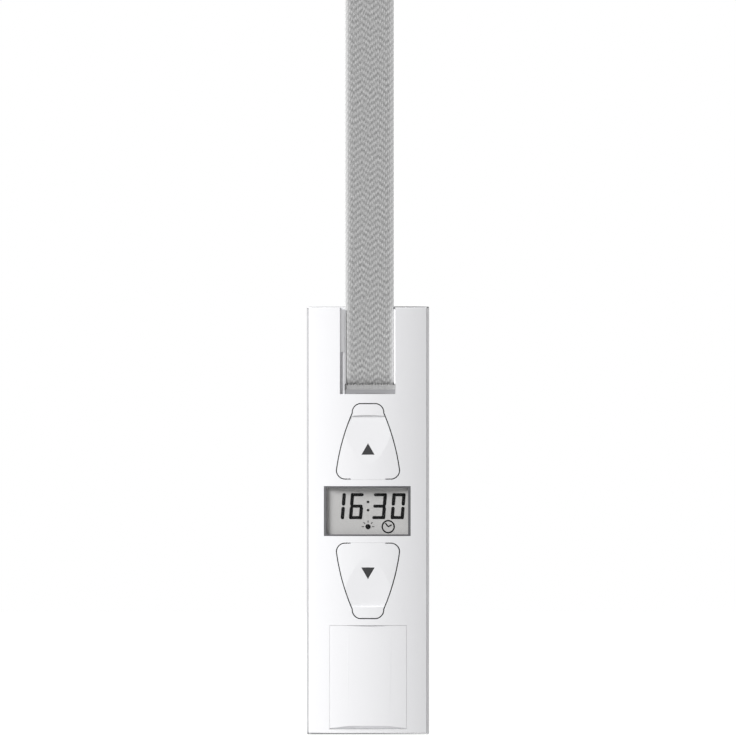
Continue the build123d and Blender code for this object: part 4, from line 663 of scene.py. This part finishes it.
class WinderLooks(bpy.types.PropertyGroup):
    """Colours and fine sizes of the belt winder."""

    cover_tone: FloatVectorProperty(
        name="Cover Tone", description="Colour of the white mouldings", subtype="COLOR", size=3,
        min=0.0, max=1.0, default=colour(0xF1F1F3)[:3])
    foot_rim: FloatProperty(
        name="Foot Rim", description="Width of the rim that the cover stands on at the wall", unit="LENGTH",
        default=0.95 * mm)
    belt_light: FloatVectorProperty(
        name="Thread Tone", description="Colour of the belt's threads where they float on top", subtype="COLOR",
        size=3, min=0.0, max=1.0, default=colour(0xCACACA)[:3])
    # Painted shade: the dips of the weave get this darker tone
    belt_dip_shade: FloatVectorProperty(
        name="Dip Tone", description="Colour of the belt's threads where they dip", subtype="COLOR", size=3,
        min=0.0, max=1.0, default=colour(0x888888)[:3])
    thread_width: FloatProperty(
        name="Thread Width", description="Width of one long thread of the belt", unit="LENGTH",
        default=belt_width / 24)
    float_length: FloatProperty(
        name="Float Length", description="Distance between two dips of a long thread", unit="LENGTH",
        default=3.0 * mm)
    yarn_variation: FloatProperty(
        name="Yarn Variation", description="Share of the weave's tone that comes from uneven yarn",
        subtype="FACTOR", min=0.0, max=1.0, default=0.45)
    thread_relief: FloatProperty(
        name="Thread Relief", description="Depth of the dips of the belt's weave", unit="LENGTH",
        default=0.14 * mm)
    selvedge: FloatProperty(
        name="Selvedge", description="Width over which the belt thins towards its edges", unit="LENGTH",
        default=1.6 * mm)
    # Wider than the right edge: paler yarn, and also a painted highlight on the lit left edge
    pale_and_lit_left: FloatProperty(
        name="Pale Left Edge", description="Width over which paler yarn fades in at the belt's left edge",
        unit="LENGTH", default=3.4 * mm)
    pale_right: FloatProperty(
        name="Pale Right Edge", description="Width over which paler yarn fades in at the belt's right edge",
        unit="LENGTH", default=2.4 * mm)


class DisplayLooks(bpy.types.PropertyGroup):
    """What the clock display shows and how its segments are drawn."""

    shown_time: StringProperty(name="Shown Time", description="Four digits of the clock", default="1630")
    digit_height: FloatProperty(name="Digit Height", description="Height of a digit", unit="LENGTH",
                                default=12.4 * mm)
    digit_width: FloatProperty(name="Digit Width", description="Width of a digit before it is slanted",
                               unit="LENGTH", default=6.3 * mm)
    stroke: FloatProperty(name="Stroke", description="Width of a segment", unit="LENGTH", default=1.6 * mm)
    slant: FloatProperty(name="Slant", description="Angle by which the digits lean", subtype="ANGLE",
                         default=radians(4.5))
    ray_count: IntProperty(name="Sun Rays", description="Rays over the sun sign", default=5, min=1, max=12)


class StageLooks(bpy.types.PropertyGroup):
    """Camera, lights and floor."""

    distance: FloatProperty(name="Camera Distance", description="From the lens to the cover's front",
                            unit="LENGTH", default=5.0)
    key_strength: FloatProperty(name="Key Light", description="Strength of the soft light from the upper left",
                                default=1.15 * pi)
    key_azimuth: FloatProperty(name="Key Azimuth", description="Angle of the key light from straight ahead",
                               subtype="ANGLE", default=radians(-50))
    key_elevation: FloatProperty(name="Key Elevation", description="Angle of the key light over the horizon",
                                 subtype="ANGLE", default=radians(33))
    key_softness: FloatProperty(name="Key Softness", description="Angle that the key light spans",
                                subtype="ANGLE", default=radians(30))
    fill_strength: FloatProperty(name="Fill", description="Strength of the even light from all round",
                                 default=0.17)
    floor_glow: FloatProperty(name="Floor Glow", description="What the floor lacks to white, as the camera sees it",
                              default=0.525)
    floor_drop: FloatProperty(name="Floor Drop", description="Height at which the winder hangs over the floor",
                              unit="LENGTH", default=0.15)


class WINDER_OT_finishes(bpy.types.Operator):
    """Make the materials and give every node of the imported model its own"""

    bl_idname = "winder.finishes"
    bl_label = "Finishes"

    def execute(self, context):
        finishes.update(make_finishes(context.scene.winder_looks))
        for name, node in nodes.items():
            finish(node, node_slot(name))
        return {"FINISHED"}


class WINDER_OT_belt(bpy.types.Operator):
    """Weave the belt: the free stretch, the turn over each guide roller and the coil on the reel"""

    bl_idname = "winder.belt"
    bl_label = "Woven Belt"

    def execute(self, context):
        looks = context.scene.winder_looks
        rows_per_float = 6
        faces_per_thread = 3
        coil_step = 2 * mm
        coil_columns = 24
        step = looks.float_length / rows_per_float
        columns = faces_per_thread * round(belt_width / looks.thread_width)
        path = route_points([(belt_x, belt_y, z) for z in (roller_z, roller_z + 70 * mm, roller_z + 141 * mm,
                                                           box_guide_z)])
        free_length = box_guide_z - roller_z
        line = straight((belt_y, roller_z), (belt_y, box_guide_z), step)
        free_belt = belt_strip("shutter_belt", line, "root", "belt_strap", looks, columns,
                               looks.thread_relief, free_length)
        run_end = polar((roller_y, roller_z), bend_radius, run_angle + pi)
        run_start = polar(reel_centre, run_radius, run_angle)
        run = straight(run_start, run_end, step)
        run += arc((roller_y, roller_z), bend_radius, run_angle + pi, pi, step)[1:]
        belt_strip("belt_inner_stretch", run, "root", "belt_inner_run", looks, columns, looks.thread_relief)
        turn = arc((roller_y, box_guide_z), bend_radius, pi, pi / 2, step)
        turn += straight(turn[-1], (belt_wall_end, turn[-1][1]), step)[1:]
        turn_length = pi / 2 * bend_radius + belt_wall_end - roller_y
        upper = belt_strip("belt_upper_stretch", turn, "root", "belt_upper_turn", looks, columns,
                           looks.thread_relief, free_length + turn_length)
        coil = []
        for k in range(2 * coil_turns):
            side = 2 * (k % 2) - 1
            centre = polar(reel_centre, side * coil_pitch / 4, run_angle)
            start = run_angle + pi * (k % 2)
            coil += arc(centre, coil_start_radius + k * coil_pitch / 2, start, start + pi, coil_step)
        belt_strip("belt_wound_on_reel", coil[::-1], "reel", "belt_coil", looks, coil_columns, 0.0)
        return {"FINISHED"}


def at_tongue(point):
    """True at the tongue of either key, where it closes up with the cover."""
    height = display_z + abs(point.z - display_z)
    return (abs(point.x) < tongue_half_width and abs(height - tongue_z) < tongue_z_slack
            and point.y < tongue_back)


class WINDER_OT_cover(bpy.types.Operator):
    """Shape the cover: rounded edges, and a rim at the wall that stands out beyond its sides, painted grey as shade
    """

    bl_idname = "winder.cover"
    bl_label = "Cover"

    def execute(self, context):
        rim = context.scene.winder_looks.foot_rim
        rim_height = 2.6 * mm
        step_height = 0.1 * mm
        # The rim is narrower along the top
        top_share = 0.55
        rounding = 0.3 * mm
        piece = node_copy("front_cover")
        only(piece)
        for y in (-rim_height, -rim_height - step_height):
            bpy.ops.object.mode_set(mode="EDIT")
            bpy.ops.mesh.select_all(action="SELECT")
            bpy.ops.mesh.bisect(plane_co=(0, y, 0), plane_no=(0, 1, 0))
            bpy.ops.object.mode_set(mode="OBJECT")
        # Only the outermost band of the moulding is pressed together to make room for the rim
        band = 2 * mm
        for vertex in piece.data.vertices:
            if vertex.co.y > -rim_height - step_height / 2:
                continue
            on_bow = abs(vertex.co.y - bow_y(vertex.co.x)) < bow_slack
            for axis, half in ((0, cover_half_width), (2, cover_high.z)):
                beyond = abs(vertex.co[axis]) - (half - band)
                if beyond > 0:
                    width = rim * top_share if axis == 2 and vertex.co.z > 0 else rim
                    pressed = half - band + beyond * (band - width) / band
                    vertex.co[axis] = pressed if vertex.co[axis] > 0 else -pressed
            if on_bow:
                vertex.co.y = bow_y(vertex.co.x)
        at_rim = -rim_height - 2 * step_height
        round_edges(piece, rounding, lambda point: at_tongue(point) or at_rim < point.y < -rim_height / 2)
        shade_bow(piece)
        stands_for(piece, "front_cover")
        # The rim is of the same ABS, painted grey to stand for the shade that outlines the cover
        piece.data.materials.append(moulded_plastic("rim_abs_painted_shade", colour(0xB8B8BA), 0.45, 1.53, 0.35 * mm,
                                                    0.0015 * mm, 0.02))
        # Faces of the rim get the painted shade
        for face in piece.data.polygons:
            outside = abs(face.center.x) > cover_half_width - band or abs(face.center.z) > cover_high.z - band
            if outside and face.center.y > -rim_height - 1.5 * step_height:
                face.material_index = 1
        return {"FINISHED"}


class WINDER_OT_front(bpy.types.Operator):
    """Round the edges of the keys, flap, display frame and set buttons"""

    bl_idname = "winder.front"
    bl_label = "Front"

    def execute(self, context):
        key_rounding = 0.38 * mm
        flap_rounding = 0.06 * mm
        small_rounding = 0.12 * mm
        # The flap nearly fills its opening, as its hairline gap in the photograph shows
        wider, higher = 0.18 * mm, 0.15 * mm
        slack = 0.1 * mm
        for key in ("up_key", "down_key"):
            shade_bow(rounded_copy(key, key_rounding, at_tongue))
        flap = node_copy("service_flap")
        for vertex in flap.data.vertices:
            if abs(vertex.co.x) > flap_high.x - slack:
                vertex.co.x += wider if vertex.co.x > 0 else -wider
            if vertex.co.z > flap_high.z - slack:
                vertex.co.z += higher
        round_edges(flap, flap_rounding)
        shade_bow(flap)
        stands_for(flap, "service_flap")
        for node in ("display_bezel", "set_button_1", "set_button_2", "set_button_3"):
            rounded_copy(node, small_rounding)
        return {"FINISHED"}


class WINDER_OT_inlet(bpy.types.Operator):
    """Make the guides beside the belt in its slot and the brush under the belt"""

    bl_idname = "winder.inlet"
    bl_label = "Belt Inlet"

    # Rounding of the guides and of the brush's holder
    rounding = 0.2 * mm

    def execute(self, context):
        # The guides go a little into the cover and keep clear of the belt
        embed = 0.4 * mm
        clearance = 0.1 * mm
        front = belt_low.y - 0.6 * mm
        right = belt_low.x - clearance
        left = right - 1.0 * mm
        wall = slot_left - embed
        foot = slot_bottom - embed
        top = cover_high.z - 1.4 * mm
        over_brush = slot_bottom + 4.8 * mm
        over_window = slot_floor_bottom + embed
        upper = box("slot_rib_upper", (wall, front, slot_floor_bottom), (right, slot_floor_y + embed, top))
        # Its face slopes from the cover's front down to the belt
        for vertex in upper.data.vertices:
            if vertex.co.y < front + clearance and vertex.co.x < left:
                vertex.co.y = bow_y(slot_left) + clearance
        lower = box("slot_rib_lower", (left, front, foot), (right, front + 1.4 * mm, over_window))
        # Left of the lower part the slot is only a shallow groove
        groove = box("slot_rib_groove", (wall, front + 1.0 * mm, foot),
                     (left + 0.5 * mm, front + 2.0 * mm, over_window))
        # A thin lip keeps the belt's edge from coming forward
        lip = box("slot_rib_lip", (right - 0.6 * mm, belt_low.y - 0.35 * mm, over_brush),
                  (belt_low.x + 0.35 * mm, belt_low.y - clearance, top))
        other_side = box("slot_rib_right", (belt_high.x + clearance, belt_low.y - clearance, over_brush),
                         (slot_right + embed, belt_low.y + 1.0 * mm, top))
        parts = [upper, lower, groove, lip, other_side]
        for part in parts:
            round_edges(part, self.rounding)
        rib = joined(parts, "belt_slot_rib")
        finish(rib, "cover_plastic")
        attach(rib, "root")
        self.brush()
        return {"FINISHED"}

    def brush(self):
        """Row of bristle tufts along the lower edge of the slot, clear of the belt's bend."""
        pitch = 0.55 * mm
        foot = slot_bottom + 2.2 * mm
        top = slot_bottom + 4.5 * mm
        in_holder = 0.6 * mm
        y = belt_low.y + 0.5 * mm
        low_x, high_x = slot_left + 2.3 * mm, slot_right - 0.1 * mm
        count = round((high_x - low_x) / pitch)
        # Stiff bristles without any highlight, in a smooth dull holder whose darker grey is painted shade under the
        # belt's foot
        bristle = moulded_plastic("grey_nylon_bristle", colour(0xCACACA), 0.7, 1.53, 0.4 * mm, 0.02 * mm, 0.15)
        holder_painted_shade = moulded_plastic("grey_polypropylene", colour(0x959597), 0.6, 1.49, 0.4 * mm, 0.004 * mm, 0.02)
        holder = box("brush_holder", (low_x, y - 0.7 * mm, slot_bottom + 0.05 * mm), (high_x, y + 1.6 * mm, foot))
        round_edges(holder, self.rounding)
        holder.data.materials.append(holder_painted_shade)
        tufts = [holder]
        for i in range(count):
            tuft = primitive(bpy.ops.mesh.primitive_cone_add, vertices=8, radius1=0.26 * mm, radius2=0.2 * mm,
                             depth=top - foot + in_holder)
            # No two neighbours lean and stand out alike
            lean = 0.08 * mm * sin(2.4 * i)
            rise = 4 * lean
            x = low_x + (i + 0.5) * (high_x - low_x) / count
            tuft.data.transform(Matrix.Translation((x, y + lean, (top + foot - in_holder) / 2 + rise)))
            tuft.data.materials.append(bristle)
            tufts.append(tuft)
        brush = joined(tufts, "belt_inlet_brush")
        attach(brush, "root")


class WINDER_OT_display(bpy.types.Operator):
    """Lay the clock's digits, colon, sun sign and clock sign on the liquid crystal glass"""

    bl_idname = "winder.display"
    bl_label = "Display"

    def execute(self, context):
        look = context.scene.winder_display
        piece = joined(self.digits(look) + self.signs(look), "lcd_segments")
        piece.data.materials.clear()
        piece.data.materials.append(dark_segments("dark_liquid_crystal"))
        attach(piece, "root")
        return {"FINISHED"}

    def digits(self, look):
        """Bars of the four digits, by the usual letters of seven segments."""
        bars = []
        lit = {"0": "abcdef", "1": "bc", "2": "abged", "3": "abgcd", "4": "fgbc", "5": "afgcd", "6": "afgecd",
               "7": "abc", "8": "abcdefg", "9": "abfgcd"}
        middle_z = display_z + 2.3 * mm
        side = (look.digit_width - look.stroke) / 2
        reach = (look.digit_height - look.stroke) / 2
        gap = 0.25 * mm
        digit_middles = (-13.7 * mm, -5.1 * mm, 5.75 * mm, 14.6 * mm)
        upright = pi / 2 - look.slant
        for digit, origin in zip(look.shown_time, digit_middles):
            for segment in lit[digit]:
                if segment in "adg":
                    x = 0
                    z = {"a": reach, "d": -reach, "g": 0.0}[segment]
                    length = look.digit_width - (0.5 * mm if segment == "g" else 0.3 * mm)
                    width, turn = look.stroke * 0.9, 0
                else:
                    x = side if segment in "bc" else -side
                    z = (reach + look.stroke / 2 + gap) / 2 * (1 if segment in "bf" else -1)
                    length = reach + look.stroke / 2 - gap
                    width, turn = look.stroke, upright
                middle = (display_x + origin + x + z * tan(look.slant), middle_z + z)
                bars.append(flat_bar(middle, length, width, turn))
        return bars

    def signs(self, look):
        """The colon, and below the digits a sun and a clock with two hands."""
        colon_x = display_x + 0.35 * mm
        colon_heights = (8.9 * mm, 5.0 * mm)
        dot_radius, sun_radius, ray_radius = 0.62 * mm, 1.25 * mm, 2.45 * mm
        ray_length, ray_width = 1.1 * mm, 0.34 * mm
        clock_inside, clock_outside = 2.5 * mm, 3.15 * mm
        hands = ((2.1 * mm, radians(128)), (1.8 * mm, radians(28)))
        hand_width, hand_overlap = 0.6 * mm, 0.3 * mm
        signs_z = display_z - 7.4 * mm
        sun = (colon_x, signs_z)
        clock = (display_x + 9.9 * mm, signs_z)
        pieces = [flat_disc((colon_x, z), 0.0, dot_radius) for z in colon_heights]
        pieces.append(flat_disc(sun, 0.0, sun_radius))
        for i in range(look.ray_count):
            angle = pi * i / (look.ray_count - 1) if look.ray_count > 1 else pi / 2
            pieces.append(flat_bar(polar(sun, ray_radius, angle), ray_length, ray_width, angle))
        pieces.append(flat_disc(clock, clock_inside, clock_outside))
        for length, angle in hands:
            pieces.append(flat_bar(polar(clock, length / 2, angle), length + hand_overlap, hand_width, angle))
        return pieces


class WINDER_OT_wall_side(bpy.types.Operator):
    """Round the edges of the mounting plate, the housing, its lid and the belt guide at the shutter box"""

    bl_idname = "winder.wall_side"
    bl_label = "Wall Side"

    def execute(self, context):
        for node, width in (("mounting_plate", 0.25), ("housing_body", 0.35), ("housing_lid", 0.35),
                            ("guide_roller", 0.2), ("cable_grommet", 0.4), ("box_guide_plate", 0.35),
                            ("box_guide_hood", 0.2), ("box_guide_roller", 0.2), ("lid_screws", 0.2)):
            rounded_copy(node, width * mm)
        return {"FINISHED"}


class WINDER_OT_stage(bpy.types.Operator):
    """Set up the floor, the soft light, the even light and the camera"""

    bl_idname = "winder.stage"
    bl_label = "Stage"

    def execute(self, context):
        look = context.scene.winder_stage
        scene = context.scene
        sensor_width = 36
        farthest_seen = 50
        self.floor(cad_bounds[0][2] - look.floor_drop, look.floor_glow)
        self.world(scene, look.fill_strength)
        target = Vector((0, -cover_depth, photo_middle_z))
        light = bpy.data.lights.new("key_light", "SUN")
        light.energy = look.key_strength
        light.angle = look.key_softness
        lamp = linked("key_light", light)
        way = Vector((sin(look.key_azimuth) * cos(look.key_elevation),
                      -cos(look.key_azimuth) * cos(look.key_elevation), sin(look.key_elevation)))
        lamp.location = target + way * look.distance
        lamp.rotation_euler = way.to_track_quat("Z", "Y").to_euler()
        camera = linked("camera", bpy.data.cameras.new("camera"))
        camera.location = target - Vector((0, look.distance, 0))
        camera.rotation_euler = (pi / 2, 0, 0)
        camera.data.sensor_width = sensor_width
        camera.data.lens = sensor_width * look.distance / (photo_pixels * pixel)
        camera.data.clip_end = farthest_seen
        scene.camera = camera
        scene.view_settings.view_transform = "Standard"
        return {"FINISHED"}

    def seen(self, tree):
        """1 for rays from the camera, off gloss or through glass, and 0 for light that falls on the part."""
        rays = add_node(tree, "ShaderNodeLightPath").outputs
        seen = rays["Is Camera Ray"]
        for kind in ("Is Glossy Ray", "Is Transmission Ray"):
            seen = add_node(tree, "ShaderNodeMath", {0: seen, 1: rays[kind]}, operation="MAXIMUM").outputs[0]
        return seen

    def floor(self, height, glow):
        """Wide pale floor that renders white where nothing shades it."""
        floor_radius = 9
        piece = primitive(bpy.ops.mesh.primitive_circle_add, (0, 0, height), vertices=96, radius=floor_radius,
                          fill_type="NGON")
        piece.name = "floor"
        # Matt wall paint without any gloss
        material, tree, shader = new_material("pale_painted_floor")
        paint(tree, shader, noise(tree, object_place(tree), 1 / 3), colour(0xCBCBCB), colour(0xCDCDCD))
        shader.inputs["Roughness"].default_value = 0.9
        strength = add_node(tree, "ShaderNodeMath", {0: self.seen(tree), 1: glow}, operation="MULTIPLY")
        shader.inputs["Emission Color"].default_value = (1.0, 1.0, 1.0, 1.0)
        tree.links.new(strength.outputs[0], shader.inputs["Emission Strength"])
        piece.data.materials.append(material)

    def world(self, scene, strength):
        """Even light from all round, which the camera and gloss see as white."""
        world = bpy.data.worlds.new("studio")
        scene.world = world
        world.use_nodes = True
        tree = world.node_tree
        tree.nodes.clear()
        light, white = (add_node(tree, "ShaderNodeBackground", {"Color": (1.0, 1.0, 1.0, 1.0), "Strength": value})
                        for value in (strength, 1.0))
        mix = add_node(tree, "ShaderNodeMixShader", {0: self.seen(tree), 1: light.outputs[0],
                                                     2: white.outputs[0]})
        add_node(tree, "ShaderNodeOutputWorld", {"Surface": mix.outputs[0]})


operators = (WINDER_OT_finishes, WINDER_OT_cover, WINDER_OT_front, WINDER_OT_display, WINDER_OT_inlet,
             WINDER_OT_wall_side, WINDER_OT_belt, WINDER_OT_stage)


class WINDER_PT_panel(bpy.types.Panel):
    """Lists the steps that dress the belt winder"""

    bl_idname = "WINDER_PT_panel"
    bl_label = "Belt Winder"
    bl_space_type = "VIEW_3D"
    bl_region_type = "UI"
    bl_category = "Belt Winder"

    def draw(self, context):
        for operator in operators:
            self.layout.operator(operator.bl_idname)


classes = (WinderLooks, DisplayLooks, StageLooks, *operators, WINDER_PT_panel)


def register():
    for cls in classes:
        bpy.utils.register_class(cls)
    bpy.types.Scene.winder_looks = PointerProperty(type=WinderLooks)
    bpy.types.Scene.winder_display = PointerProperty(type=DisplayLooks)
    bpy.types.Scene.winder_stage = PointerProperty(type=StageLooks)


def unregister():
    del bpy.types.Scene.winder_stage
    del bpy.types.Scene.winder_display
    del bpy.types.Scene.winder_looks
    for cls in reversed(classes):
        bpy.utils.unregister_class(cls)


def main():
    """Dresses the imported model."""
    register()
    bpy.ops.winder.finishes()
    bpy.ops.winder.cover()
    bpy.ops.winder.front()
    bpy.ops.winder.display()
    bpy.ops.winder.inlet()
    bpy.ops.winder.wall_side()
    bpy.ops.winder.belt()
    bpy.ops.winder.stage()


if __name__ == "__main__":
    main()
